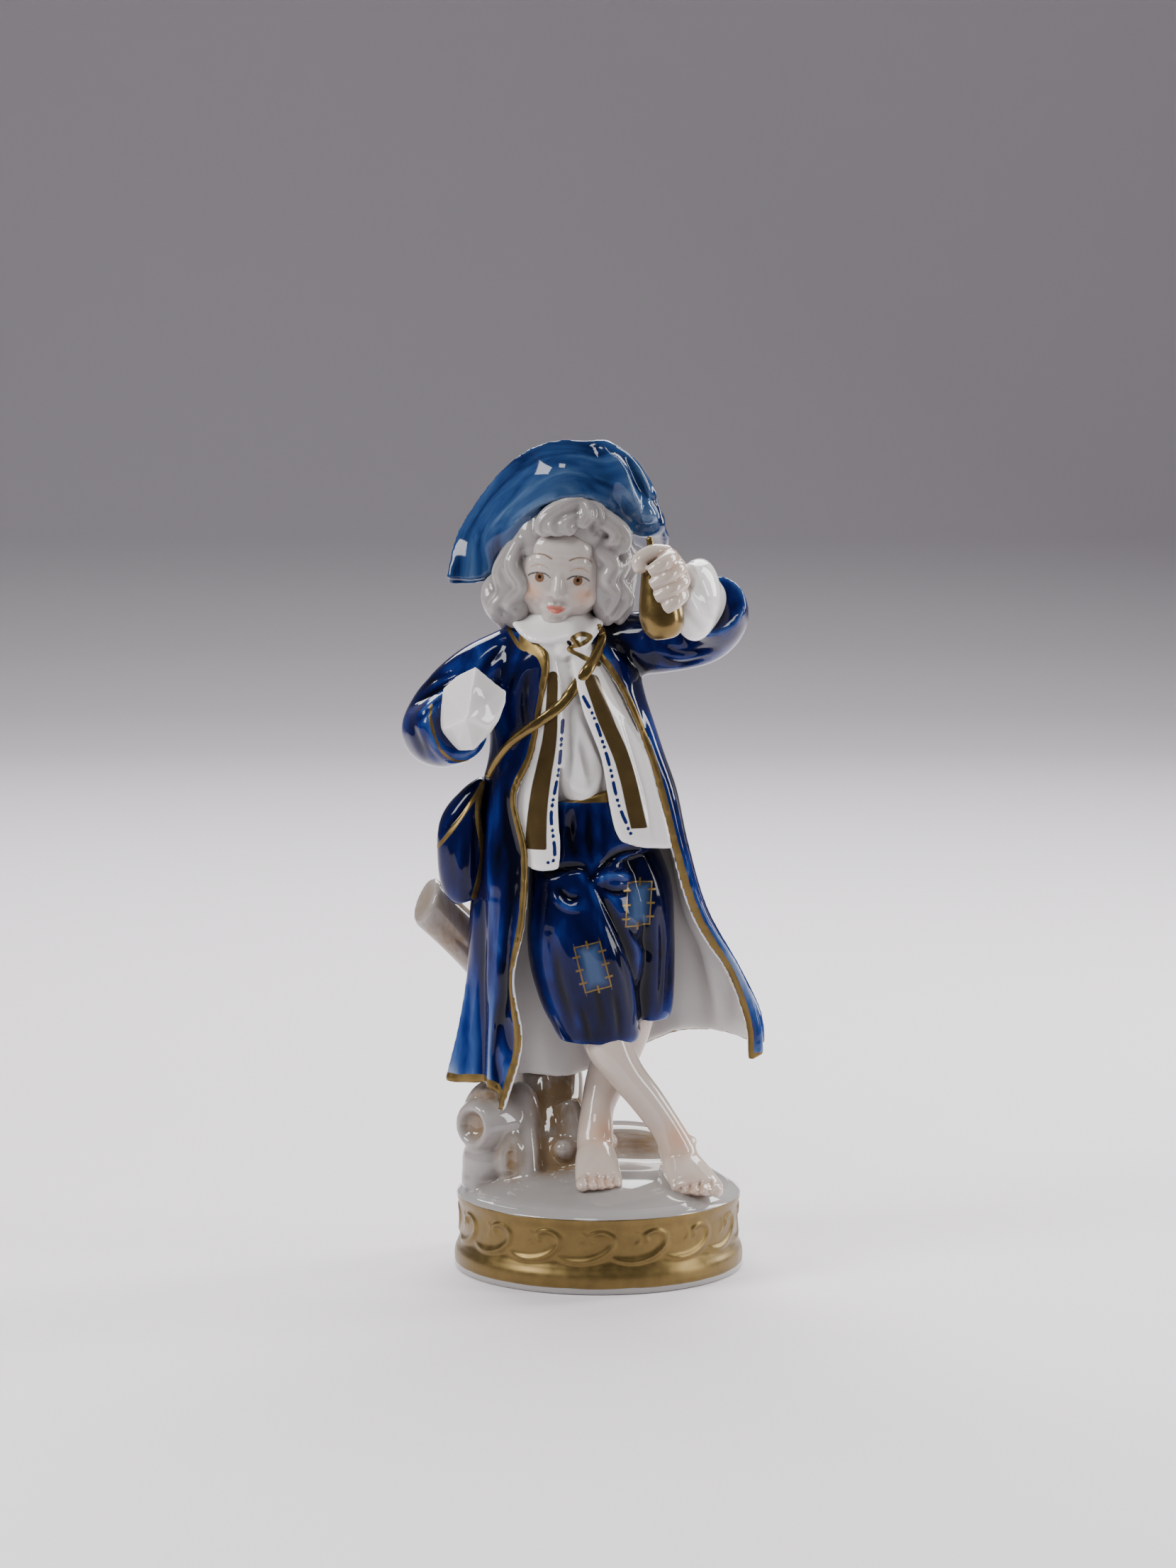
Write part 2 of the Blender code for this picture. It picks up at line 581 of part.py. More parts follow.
def stump():
    """The sawn tree stump behind his right hip, with a side branch, a burl and roots."""
    trunk = [
        (-12.0, 1.0, 13.6, 11.6, 10.6),
        (-12.2, 3.0, 20.0, 10.2, 9.6),
        (-12.6, 5.6, 28.0, 9.4, 8.2),
        (-12.8, 8.6, 36.0, 8.8, 7.4),
        (-13.8, 10.6, 46.0, 7.8, 6.8),
        (-15.4, 11.6, 56.0, 7.2, 6.4),
        (-16.4, 12.0, 63.0, 6.6, 6.0),
    ]
    branch = [(0.6, 19.0), (3.6, 19.4), (4.6, 20.0), (5.2, 19.4), (5.0, 15.0), (4.8, 8.0), (5.6, 0.0)]
    burl = [(0.5, 8.6), (1.8, 8.9), (3.2, 10.6), (4.3, 10.6), (4.9, 8.8), (4.8, 5.0), (5.4, 0.0)]
    roots = [
        [(-12.0, -3.0, 25.0, 4.0, 3.8), (-14.8, -8.2, 19.4, 3.2, 3.2), (-16.4, -11.6, 15.8, 2.0, 2.0)],
        [(-18.4, -1.0, 23.0, 4.6, 4.6), (-22.0, -4.4, 18.0, 3.8, 3.6), (-23.6, -6.4, 14.4, 2.2, 2.2)],
        [(-7.4, -3.0, 26.0, 3.4, 3.2), (-6.2, -6.0, 21.4, 2.8, 2.6), (-5.6, -8.6, 17.0, 1.8, 1.8)],
        [(-16.0, 10.0, 22.0, 4.0, 4.0), (-19.0, 13.0, 16.6, 3.0, 3.0), (-20.4, 14.6, 13.6, 2.0, 2.0)],
        [(-6.0, 10.0, 22.0, 3.6, 3.6), (-3.0, 15.0, 17.0, 2.6, 2.6), (-1.6, 17.6, 14.0, 1.8, 1.8)],
    ]
    made = [
        limb("trunk", trunk),
        turned("branch", (-16.6, 10.4, 51.4), (-0.66, -0.3, 0.69), branch),
        turned("burl", (-17.6, 1.4, 26.6), (-0.5, -0.86, 0.06), burl),
        ball("burl_root", (-20.4, -2.6, 21.6), (5.4, 4.8, 4.6)),
        ball("mound", (4.6, 8.0, 14.6), (19.5, 14.0, 10.2)),
    ]
    made += [limb(f"root_{i}", stations) for i, stations in enumerate(roots)]
    return made


def melted(pieces):
    """The forms joined into one soft-edged skin of about FIGURE_TRIANGLES faces."""
    bm = bmesh.new()
    for piece in pieces:
        bm.from_mesh(piece.data)
        bpy.data.objects.remove(piece)
    mesh = bpy.data.meshes.new("figure")
    bm.to_mesh(mesh)
    bm.free()
    figure = new_object("figure", mesh)
    remesh = figure.modifiers.new("melt", "REMESH")
    remesh.mode = "VOXEL"
    remesh.voxel_size = MELT_SIZE * MM
    soften = figure.modifiers.new("soften", "SMOOTH")
    soften.factor = 0.5
    soften.iterations = MELT_PASSES
    applied(figure)
    keep_largest_skin(figure.data)
    thin = figure.modifiers.new("thin", "DECIMATE")
    thin.ratio = FIGURE_TRIANGLES / (2 * len(figure.data.polygons))
    thin.use_collapse_triangulate = True
    return applied(figure)


def keep_largest_skin(mesh):
    """Removes the small closed pockets that joining leaves inside."""
    bm = bmesh.new()
    bm.from_mesh(mesh)
    left = set(bm.verts)
    skins = []
    while left:
        seed = left.pop()
        skin = {seed}
        edge = [seed]
        while edge:
            vert = edge.pop()
            for link in vert.link_edges:
                other = link.other_vert(vert)
                if other in left:
                    left.remove(other)
                    skin.add(other)
                    edge.append(other)
        skins.append(skin)
    skins.sort(key=len)
    for skin in skins[:-1]:
        bmesh.ops.delete(bm, geom=list(skin), context="VERTS")
    bm.to_mesh(mesh)
    bm.free()


# The gilded band's outline, radius and height: it spreads at its foot and its top.
BAND = SHOULDER_HEIGHT - RIM_HEIGHT
BAND_OUTLINE = [
    (BASE_DIAMETER / 2, RIM_HEIGHT),
    (BASE_DIAMETER / 2, RIM_HEIGHT + 0.12 * BAND),
    (BASE_DIAMETER / 2 - 0.3, RIM_HEIGHT + 0.22 * BAND),
    (BAND_WAIST_DIAMETER / 2, RIM_HEIGHT + 0.36 * BAND),
    (BAND_WAIST_DIAMETER / 2, RIM_HEIGHT + 0.78 * BAND),
    (BAND_TOP_DIAMETER / 2, SHOULDER_HEIGHT),
]


def base_profile():
    """Radius and height of the base's outline, from the middle of its underside to its top."""
    foot = BASE_DIAMETER / 2
    top = BAND_TOP_DIAMETER / 2
    outline = [(0.0, 0.0), (foot - FOOT_CHAMFER, 0.0), (foot, FOOT_CHAMFER)]
    outline += BAND_OUTLINE
    steps = 8
    for i in range(1, steps + 1):
        radius = top * (1 - i / steps)
        outline.append((radius, SHOULDER_HEIGHT + DOME_RISE * (1 - (radius / top) ** 3)))
    return outline


def base():
    """The round base, turned from its outline."""
    bm = bmesh.new()
    verts = [bm.verts.new((radius * MM, 0, height * MM)) for radius, height in base_profile()]
    edges = [bm.edges.new(pair) for pair in zip(verts, verts[1:])]
    bmesh.ops.spin(
        bm, geom=verts + edges, cent=(0, 0, 0), axis=(0, 0, 1), angle=2 * math.pi,
        steps=BASE_SEGMENTS, use_merge=True,
    )
    bmesh.ops.remove_doubles(bm, verts=bm.verts, dist=0.01 * MM)
    return object_from(bm, "base")


def wave(index):
    """One raised scroll of the running wave, laid round the band, with a curled crest."""
    pitch = 2 * math.pi / WAVE_COUNT
    rise = WAVE_CREST_HEIGHT - WAVE_FOOT_HEIGHT
    shape = [
        (-0.86, 0.14), (-0.62, 0.0), (-0.34, 0.04), (-0.12, 0.24), (0.0, 0.58),
        (-0.07, 0.9), (-0.24, 1.0), (-0.36, 0.82), (-0.3, 0.62),
    ]
    heights = [height for radius, height in BAND_OUTLINE]
    radii = [radius for radius, height in BAND_OUTLINE]
    curve = bpy.data.curves.new(f"wave_{index}", "CURVE")
    curve.dimensions = "3D"
    curve.bevel_depth = WAVE_THICKNESS / 2 * MM
    curve.bevel_resolution = 0
    curve.use_fill_caps = True
    line = through(shape, 13)
    spline = curve.splines.new("POLY")
    spline.points.add(len(line) - 1)
    for i, (point, (along, up)) in enumerate(zip(spline.points, line)):
        angle = pitch * (index + along) + math.radians(WAVE_TURN)
        height = WAVE_FOOT_HEIGHT + rise * up
        radius = np.interp(height, heights, radii) - WAVE_THICKNESS / 2 + WAVE_RELIEF
        point.co = (radius * MM * math.sin(angle), -radius * MM * math.cos(angle), height * MM, 1)
        point.radius = 0.4 + 0.6 * min(1, 2 * (i + 1) / len(line))
    made = new_object(f"wave_{index}", curve)
    return applied_curve(made)


def applied_curve(made):
    """A curve object turned into a closed mesh."""
    bpy.context.view_layer.update()
    graph = bpy.context.evaluated_depsgraph_get()
    mesh = bpy.data.meshes.new_from_object(made.evaluated_get(graph))
    bm = bmesh.new()
    bm.from_mesh(mesh)
    bmesh.ops.remove_doubles(bm, verts=bm.verts, dist=0.01 * MM)
    name = made.name
    bpy.data.objects.remove(made)
    return object_from(bm, name)


def united(body, others):
    """The body with the other solids joined to it."""
    for other in others:
        joint = body.modifiers.new(other.name, "BOOLEAN")
        joint.operation = "UNION"
        joint.solver = "EXACT"
        joint.object = other
    applied(body)
    for other in others:
        bpy.data.objects.remove(other)
    return body


def porcelain():
    material = bpy.data.materials.new("porcelain")
    material.use_nodes = True
    shader = material.node_tree.nodes["Principled BSDF"]
    shader.inputs["Base Color"].default_value = PORCELAIN_COLOUR
    shader.inputs["Roughness"].default_value = 0.12
    shader.inputs["Metallic"].default_value = 0.0
    return material


def main():
    for old in list(bpy.data.objects):
        bpy.data.objects.remove(old)
    pieces = boy_body() + breeches() + bare_legs() + coat() + waistcoat()
    pieces += right_arm() + left_arm() + pear_in_hand()
    pieces += head() + hair() + hat() + collar() + satchel() + stump()
    figure = melted(pieces)
    waves = [wave(i) for i in range(WAVE_COUNT)]
    boy = united(base(), [figure] + waves)
    boy.name = "boy_figurine"
    boy.data.name = "boy_figurine"
    boy.data.materials.clear()
    boy.data.materials.append(porcelain())
    boy.data.shade_smooth()
    boy.data.set_sharp_from_angle(angle=math.radians(40))


main()
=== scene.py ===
"""A glazed porcelain figurine of a boy in a soft hat and a long coat, with a pear in his hand.

The surfaces are modelled and painted as the maker did it: white porcelain first, then cobalt blue,
thin brown strokes, flesh tints and gilding. Lengths are in millimetres until a mesh is made.
The boy looks along -Y, and his right side is at -X.
"""

import math

import bmesh
import bpy
import numpy as np
from mathutils import Matrix, Vector, kdtree


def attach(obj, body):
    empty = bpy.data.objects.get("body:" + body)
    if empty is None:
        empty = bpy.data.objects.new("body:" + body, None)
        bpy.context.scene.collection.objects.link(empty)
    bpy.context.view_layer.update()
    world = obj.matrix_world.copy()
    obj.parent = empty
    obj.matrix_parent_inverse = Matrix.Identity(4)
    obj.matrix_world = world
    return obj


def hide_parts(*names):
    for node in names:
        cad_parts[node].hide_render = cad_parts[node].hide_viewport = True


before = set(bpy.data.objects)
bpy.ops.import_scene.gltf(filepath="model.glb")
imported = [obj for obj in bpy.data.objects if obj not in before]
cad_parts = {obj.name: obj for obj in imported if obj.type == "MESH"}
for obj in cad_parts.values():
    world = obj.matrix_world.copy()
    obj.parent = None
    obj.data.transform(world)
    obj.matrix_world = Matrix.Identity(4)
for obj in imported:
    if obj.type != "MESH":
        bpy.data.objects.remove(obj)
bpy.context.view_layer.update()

MM = 0.001
NODE = "boy_figurine"


# The camera, the paper sweep and the lamps.
# The eye is a metre off and 8 degrees above level, as for a tabletop product picture.
EYE_DISTANCE = 1000.0
EYE_ELEVATION = math.radians(8.1)
EYE_AIM = Vector((-1.95, 0, 89.5))
LENS = 125.5

view_back = Vector((0, -math.cos(EYE_ELEVATION), math.sin(EYE_ELEVATION)))
bpy.ops.object.camera_add()
eye = bpy.context.object
eye.data.lens = LENS
eye.data.sensor_width = 36.0
eye.data.clip_start = 0.01
eye.location = (EYE_AIM + view_back * EYE_DISTANCE) * MM
eye.rotation_euler = view_back.to_track_quat("Z", "Y").to_euler()
bpy.context.scene.camera = eye


def srgb(code):
    """A hex colour as the linear values that a shader takes."""
    parts = [int(code[i : i + 2], 16) / 255 for i in (1, 3, 5)]
    linear = [c / 12.92 if c <= 0.04045 else ((c + 0.055) / 1.055) ** 2.4 for c in parts]
    return (*linear, 1.0)


def add(tree, kind, feeds=(), out=0, stops=(), **settings):
    """Adds a shader node with its settings and colour stops, feeds its inputs with values or with
    other nodes' outputs, and gives back one of its own outputs."""
    made = tree.nodes.new("ShaderNode" + kind)
    for name, value in settings.items():
        setattr(made, name, value)
    for key, value in dict(feeds).items():
        if isinstance(value, bpy.types.NodeSocket):
            tree.links.new(value, made.inputs[key])
        else:
            made.inputs[key].default_value = value
    if stops:
        marks = made.color_ramp.elements
        marks.remove(marks[1])
        marks[0].position = stops[0][0]
        marks[0].color = srgb(stops[0][1])
        for position, code in stops[1:]:
            marks.new(position).color = srgb(code)
    return made.outputs[out]


def new_material(name):
    """A material with its tree and its shader."""
    material = bpy.data.materials.new(name)
    material.use_nodes = True
    tree = material.node_tree
    return material, tree, tree.nodes["Principled BSDF"]


SWEEP_WIDTH = 1200.0
SWEEP_FRONT = -210.0
SWEEP_BEND = 700.0
SWEEP_RADIUS = 500.0
SWEEP_TOP = 1800.0
SWEEP_STEPS = 12

outline = [(SWEEP_FRONT, 0), (SWEEP_BEND, 0)]
for step in range(1, SWEEP_STEPS + 1):
    turn = math.pi / 2 * step / SWEEP_STEPS
    outline.append((SWEEP_BEND + SWEEP_RADIUS * math.sin(turn), SWEEP_RADIUS * (1 - math.cos(turn))))
outline.append((SWEEP_BEND + SWEEP_RADIUS, SWEEP_TOP))
sweep_verts = [(x * MM, y * MM, z * MM) for y, z in outline for x in (-SWEEP_WIDTH / 2, SWEEP_WIDTH / 2)]
sweep_faces = [(2 * i, 2 * i + 1, 2 * i + 3, 2 * i + 2) for i in range(len(outline) - 1)]
sweep_mesh = bpy.data.meshes.new("paper_sweep")
sweep_mesh.from_pydata(sweep_verts, [], sweep_faces)
sweep_mesh.shade_smooth()
sweep = bpy.data.objects.new("paper_sweep", sweep_mesh)
bpy.context.scene.collection.objects.link(sweep)
# Matt card with no sheen of its own, painted from near white in front to a light grey behind: the
# grey is painted shade, for the light that falls off towards the back.
paper, tree, shader = new_material("matt_paper_painted_darker_behind")
place = add(tree, "TexCoord", out="Object")
depth = add(tree, "SeparateXYZ", {"Vector": place}, "Y")
feeds = {"Value": depth, "From Min": SWEEP_FRONT * MM, "From Max": (SWEEP_BEND + SWEEP_RADIUS) * MM}
depth = add(tree, "MapRange", feeds)
painted_falloff_greys = ((0.0, "#f8f2f6"), (0.25, "#e6e0e4"), (0.6, "#dcd6dc"), (1.0, "#bfb9be"))
tone = add(tree, "ValToRGB", {"Fac": depth}, stops=painted_falloff_greys)
tree.links.new(tone, shader.inputs["Base Color"])
shader.inputs["Roughness"].default_value = 0.75
sweep.data.materials.append(paper)

# Soft boxes: place, width and height in millimetres, and watts. All look at the boy's middle.
LAMP_AIM = Vector((0, 0, 85))
LAMPS = [
    ("back_lamp", (0, 480, 520), (720, 320), 8.2),
    ("top_lamp", (-90, -330, 560), (150, 130), 1),
    ("right_lamp", (500, -110, 200), (110, 300), 1.4),
    ("rim_lamp", (430, 230, 300), (150, 420), 2.6),
    ("left_lamp", (-480, -230, 400), (240, 240), 3.2),
]
for name, place, size, watts in LAMPS:
    bpy.ops.object.light_add(type="AREA")
    lamp = bpy.context.object
    lamp.name = name
    lamp.data.shape = "RECTANGLE"
    lamp.data.size = size[0] * MM
    lamp.data.size_y = size[1] * MM
    lamp.data.energy = watts
    lamp.location = Vector(place) * MM
    lamp.rotation_euler = (Vector(place) - LAMP_AIM).to_track_quat("Z", "Y").to_euler()
world = bpy.data.worlds.new("studio")
world.use_nodes = True
world.node_tree.nodes["Background"].inputs["Color"].default_value = srgb("#d6d6de")
world.node_tree.nodes["Background"].inputs["Strength"].default_value = 0.2
bpy.context.scene.world = world


# The base: a cast porcelain drum with a gilded band and a running wave in low relief round it, and
# white above and below. It is thrown in a mould, glazed, and gilded and burnished last.
BASE_RADIUS = 26.6
BAND_WAIST = 25.6
BAND_TOP = 26.2
RIM_HEIGHT = 1.2
SHOULDER_HEIGHT = 13.9
DOME_RISE = 5.5
WAVE_COUNT = 16
WAVE_LOW = 5.9
WAVE_HIGH = 11.3
WAVE_TURN = math.radians(6)
BAND_RINGS = 84
DOME_RINGS = 24
DRUM_SPOKES = 480
SMALLEST = 1e-6


def through(points, count):
    """Count points on a smooth curve through the given ones, of any dimension."""
    points = np.asarray(points, float)
    padded = np.vstack([2 * points[0] - points[1], points, 2 * points[-1] - points[-2]])
    at = np.linspace(0, len(points) - 1, count)
    first = np.minimum(at.astype(int), len(points) - 2)
    t = (at - first)[:, None]
    a, b, c, d = (padded[first + k] for k in range(4))
    return 0.5 * (2 * b + (c - a) * t + (2 * a - 5 * b + 4 * c - d) * t**2 + (3 * b - a - 3 * c + d) * t**3)


def along_line(points, line):
    """Each point's distance to a polyline, and how far along it the nearest place is."""
    line = np.asarray(line, float)
    best = np.full(len(points), np.inf)
    where = np.zeros(len(points))
    walked = 0.0
    for start, end in zip(line, line[1:]):
        span = end - start
        length = np.linalg.norm(span)
        share = np.clip((points - start) @ span / length**2, 0, 1)
        gap = np.linalg.norm(points - start - share[:, None] * span, axis=1)
        nearer = gap < best
        best[nearer] = gap[nearer]
        where[nearer] = walked + share[nearer] * length
        walked += length
    return best, where


def placed(name, verts, faces):
    """An object whose mesh is in metres, made from points in millimetres."""
    mesh = bpy.data.meshes.new(name)
    mesh.from_pydata((np.asarray(verts, float) * MM).tolist(), [], faces)
    made = bpy.data.objects.new(name, mesh)
    bpy.context.scene.collection.objects.link(made)
    return made


def places(piece):
    """The piece's points in millimetres, as an array."""
    at = np.zeros(len(piece.data.vertices) * 3, np.float32)
    piece.data.vertices.foreach_get("co", at)
    return at.reshape(-1, 3).astype(float) / MM


def facings(piece):
    """The way that each of the piece's points faces, as an array."""
    facing = np.zeros(len(piece.data.vertices) * 3, np.float32)
    piece.data.vertex_normals.foreach_get("vector", facing)
    return facing.reshape(-1, 3).astype(float)


def put(piece, at):
    """Moves the piece's points to these places, in millimetres."""
    piece.data.vertices.foreach_set("co", (at * MM).astype(np.float32).ravel())
    piece.data.update()


def note(piece, name, values):
    """Keeps a number for each point of the piece, for its paint to read."""
    layer = piece.data.attributes.new(name, "FLOAT", "POINT")
    layer.data.foreach_set("value", np.asarray(values, np.float32))


def modify(piece, kind, **settings):
    """Adds a modifier and applies it."""
    bpy.ops.object.select_all(action="DESELECT")
    bpy.context.view_layer.objects.active = piece
    piece.select_set(True)
    modifier = piece.modifiers.new(kind, kind)
    for name, value in settings.items():
        setattr(modifier, name, value)
    bpy.ops.object.modifier_apply(modifier=modifier.name)


def finish(piece, material):
    """Gives the piece its paint and hands it to the frame."""
    piece.data.shade_smooth()
    piece.data.materials.append(material)
    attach(piece, "root")
    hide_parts(NODE)


def grid_faces(rows, columns, closed):
    """Faces of a grid of points, row by row, whose columns may join round."""
    faces = []
    for r in range(rows - 1):
        for c in range(columns if closed else columns - 1):
            n = (c + 1) % columns
            faces.append((r * columns + c, r * columns + n, (r + 1) * columns + n, (r + 1) * columns + c))
    return faces


# One wave and the spray inside it: shares of the wave's pitch and of its height.
WAVE_LINE = [
    (-1.08, 0.18), (-0.86, 0.03), (-0.56, 0), (-0.26, 0.14), (-0.05, 0.42), (0, 0.72),
    (-0.1, 0.94), (-0.26, 1), (-0.4, 0.88), (-0.38, 0.7),
]
SPRAY_LINE = [(-0.62, 0.5), (-0.52, 0.64), (-0.5, 0.82), (-0.56, 0.96)]

pitch = 2 * math.pi / WAVE_COUNT * BAND_WAIST
wave_rise = WAVE_HIGH - WAVE_LOW
drum_outline = [(0, 0), (BASE_RADIUS - 0.4, 0), (BASE_RADIUS - 0.05, 0.25), (BASE_RADIUS, 0.6)]
band = [
    (BASE_RADIUS, RIM_HEIGHT), (BASE_RADIUS + 0.05, 2.2), (BASE_RADIUS - 0.1, 3.4),
    (BASE_RADIUS - 0.6, 4.6), (BAND_WAIST - 0.05, 6), (BAND_WAIST - 0.1, 8.6),
    (BAND_WAIST, 11.2), (BAND_TOP - 0.15, 12.8), (BAND_TOP, SHOULDER_HEIGHT - 0.3),
]
drum_outline += [tuple(p) for p in through(band, BAND_RINGS)]
for step in range(DOME_RINGS + 1):
    radius = BAND_TOP * (1 - step / DOME_RINGS) - 0.1 * (step < DOME_RINGS)
    drum_outline.append((radius, SHOULDER_HEIGHT + DOME_RISE * (1 - (radius / BAND_TOP) ** 3)))
drum_verts = []
for radius, height in drum_outline[1:-1]:
    for step in range(DRUM_SPOKES):
        turn = 2 * math.pi * step / DRUM_SPOKES
        drum_verts.append((radius * math.sin(turn), -radius * math.cos(turn), height))
last_ring = len(drum_verts) - DRUM_SPOKES
drum_faces = grid_faces(len(drum_outline) - 2, DRUM_SPOKES, True)
drum_verts += [(0, 0, 0), (0, 0, drum_outline[-1][1])]
under, over = len(drum_verts) - 2, len(drum_verts) - 1
for c in range(DRUM_SPOKES):
    n = (c + 1) % DRUM_SPOKES
    drum_faces.append((n, c, under))
    drum_faces.append((last_ring + c, last_ring + n, over))
drum = placed("base_drum", drum_verts, drum_faces)
at = places(drum)
turn = np.arctan2(at[:, 0], -at[:, 1]) - WAVE_TURN
unrolled = np.column_stack([np.mod(turn * BAND_WAIST + 0.1 * pitch, pitch) - 0.1 * pitch, at[:, 2]])
relief = np.zeros(len(at))
for line, width, lift in ((WAVE_LINE, 0.6, 0.42), (SPRAY_LINE, 0.4, 0.18)):
    drawn = through([(x * pitch, WAVE_LOW + wave_rise * z) for x, z in line], 40)
    for shift in (0, pitch, 2 * pitch):
        gap, walked = along_line(unrolled, drawn + (shift, 0))
        share = walked / max(walked.max(), SMALLEST)
        body = width * (0.55 + 0.45 * np.sin(np.pi * np.clip(share * 0.8 + 0.1, 0, 1)))
        relief = np.maximum(relief, lift * np.exp(-((gap / body) ** 2)) * np.clip(share * 5, 0.2, 1))
on_band = np.hypot(at[:, 0], at[:, 1]) > BAND_WAIST - 1
relief *= on_band & (at[:, 2] > RIM_HEIGHT) & (at[:, 2] < SHOULDER_HEIGHT)
outward = at * (1, 1, 0) / np.maximum(np.hypot(at[:, 0], at[:, 1])[:, None], SMALLEST)
put(drum, at + outward * relief[:, None])

# Glaze is hard, smooth and wet-looking. Gilding on it is thin and burnished by hand, so a part of
# it scatters light like a paint, and its wear shows as duller and sharper patches.
GLAZE_ROUGHNESS = 0.07
GLAZE_IOR = 1.52
GILDING_METAL = 0.8
WORN_PATCH = 2.38


def glaze(shader, sheen=0.5):
    """Clear feldspar glaze, less bright where the colour under it is thick."""
    shader.inputs["Roughness"].default_value = GLAZE_ROUGHNESS
    shader.inputs["IOR"].default_value = GLAZE_IOR
    shader.inputs["Specular IOR Level"].default_value = sheen


def times(tree, *masks):
    """The masks multiplied together."""
    found = masks[0]
    for mask in masks[1:]:
        found = add(tree, "Math", {0: found, 1: mask}, operation="MULTIPLY")
    return found


def lay(tree, shader, ground, paints, gilding=None, burnish=(0.3, 0.46)):
    """Lays paints over the ground colour, each where its mask is 1, with gilding over them all.
    The burnish is the gilding's roughness where it shines and where it is worn."""
    colour = ground
    for paint, mask in paints:
        colour = add(tree, "Mix", {0: mask, 6: colour, 7: paint}, 2, data_type="RGBA")
    if gilding is not None:
        place = add(tree, "TexCoord", out="Object")
        wear = add(tree, "TexNoise", {"Vector": place, "Scale": 1 / (WORN_PATCH * MM), "Detail": 6})
        gold = add(tree, "ValToRGB", {"Fac": wear}, stops=((0.2, "#665430"), (0.85, "#826c40")))
        colour = add(tree, "Mix", {0: gilding, 6: colour, 7: gold}, 2, data_type="RGBA")
        least, most = burnish
        feeds = {"Value": wear, "From Min": 0.3, "From Max": 0.75, "To Min": least, "To Max": most}
        rough = add(tree, "Mix", {0: gilding, 2: GLAZE_ROUGHNESS, 3: add(tree, "MapRange", feeds)})
        tree.links.new(rough, shader.inputs["Roughness"])
        tree.links.new(times(tree, gilding, GILDING_METAL), shader.inputs["Metallic"])
    if isinstance(colour, bpy.types.NodeSocket):
        tree.links.new(colour, shader.inputs["Base Color"])
    else:
        shader.inputs["Base Color"].default_value = colour


def within(tree, value, limit, soft=0.06, wobble=0.0, length=1.0):
    """A mask of 1 where a value is under its limit, with a brush's unsteady edge: how far it
    wobbles, and the length of one wobble in millimetres."""
    if wobble:
        place = add(tree, "TexCoord", out="Object")
        shake = add(tree, "TexNoise", {"Vector": place, "Scale": 1 / (length * MM), "Detail": 2})
        shake = add(tree, "Math", {0: shake, 1: 2 * wobble, 2: -wobble}, operation="MULTIPLY_ADD")
        value = add(tree, "Math", {0: value, 1: shake}, operation="ADD")
    feeds = {"Value": value, "From Min": limit - soft, "From Max": limit + soft, "To Min": 1, "To Max": 0}
    return add(tree, "MapRange", feeds)


def kept(tree, name):
    """The number that was noted for each point of the piece."""
    return add(tree, "Attribute", out="Fac", attribute_name=name)


# Glazed hard-paste white with a band of burnished gold: a mirror-like white, painted grey as
# shade on the base, beside a soft metal sheen, and between them an edge laid with a brush.
gilded_drum, tree, shader = new_material("gilded_porcelain_band")
glaze(shader)
place = add(tree, "TexCoord", out="Object")
height = times(tree, add(tree, "SeparateXYZ", {"Vector": place}, "Z"), 1 / MM)
below_top = within(tree, height, SHOULDER_HEIGHT - 0.15, wobble=0.25, length=6.25)
below_foot = within(tree, height, RIM_HEIGHT, wobble=0.25, length=8.33)
gilding = add(tree, "Math", {0: below_top, 1: below_foot}, operation="SUBTRACT", use_clamp=True)
# The white ground is a grey: painted shade on the base, darker than the figure's lit white.
lay(tree, shader, srgb("#9e9a98"), [], gilding)
finish(drum, gilded_drum)


# The ground and the stump: the domed top, a low mound behind, and a sawn stump with a side branch,
# a ringed burl and roots. It is cast in one with the base, of white porcelain, with thin brown
# strokes brushed on and wiped.


def end_faces(count, sides):
    """The two faces that close the ends of a tube of so many points."""
    return [tuple(range(sides)), tuple(range(count - sides, count))]


def loft(stations, across=(0, 1, 0), sides=36, rings=8):
    """A closed round form along a path, as points and faces. A station is a place, then half the
    width and half the depth there; the depth lies towards across."""
    path = through(stations, (len(stations) - 1) * rings + 1)
    steps = np.gradient(path[:, :3], axis=0)
    verts = []
    for row, step in zip(path, steps):
        ahead = Vector(step).normalized()
        side = ahead.cross(Vector(across)).normalized()
        front = side.cross(ahead).normalized()
        for i in range(sides):
            turn = 2 * math.pi * i / sides
            ring = side * (row[3] * math.cos(turn)) + front * (row[4] * math.sin(turn))
            verts.append(Vector(row[:3]) + ring)
    return verts, grid_faces(len(path), sides, True) + end_faces(len(verts), sides)


def lathe(start, axis, profile, sides=48):
    """A closed form turned about an axis, from radius and distance along it."""
    lean = Vector(axis).to_track_quat("Z", "Y").to_matrix()
    verts = []
    for radius, ahead in profile:
        for i in range(sides):
            turn = 2 * math.pi * i / sides
            ring = Vector((radius * math.cos(turn), radius * math.sin(turn), ahead))
            verts.append(Vector(start) + lean @ ring)
    return verts, grid_faces(len(profile), sides, True) + end_faces(len(verts), sides)


def orb(centre, radii, turn=(0, 0, 0)):
    """An egg-shaped form, turned by degrees about X, Y and Z."""
    spin = Matrix.Rotation(math.radians(turn[2]), 3, "Z")
    spin = spin @ Matrix.Rotation(math.radians(turn[1]), 3, "Y")
    spin = spin @ Matrix.Rotation(math.radians(turn[0]), 3, "X")
    profile = [(math.sin(a), -math.cos(a)) for a in np.linspace(0.06, math.pi - 0.06, 22)]
    verts, faces = lathe((0, 0, 0), (0, 0, 1), profile, 32)
    return [Vector(centre) + spin @ (v * Vector(radii)) for v in verts], faces


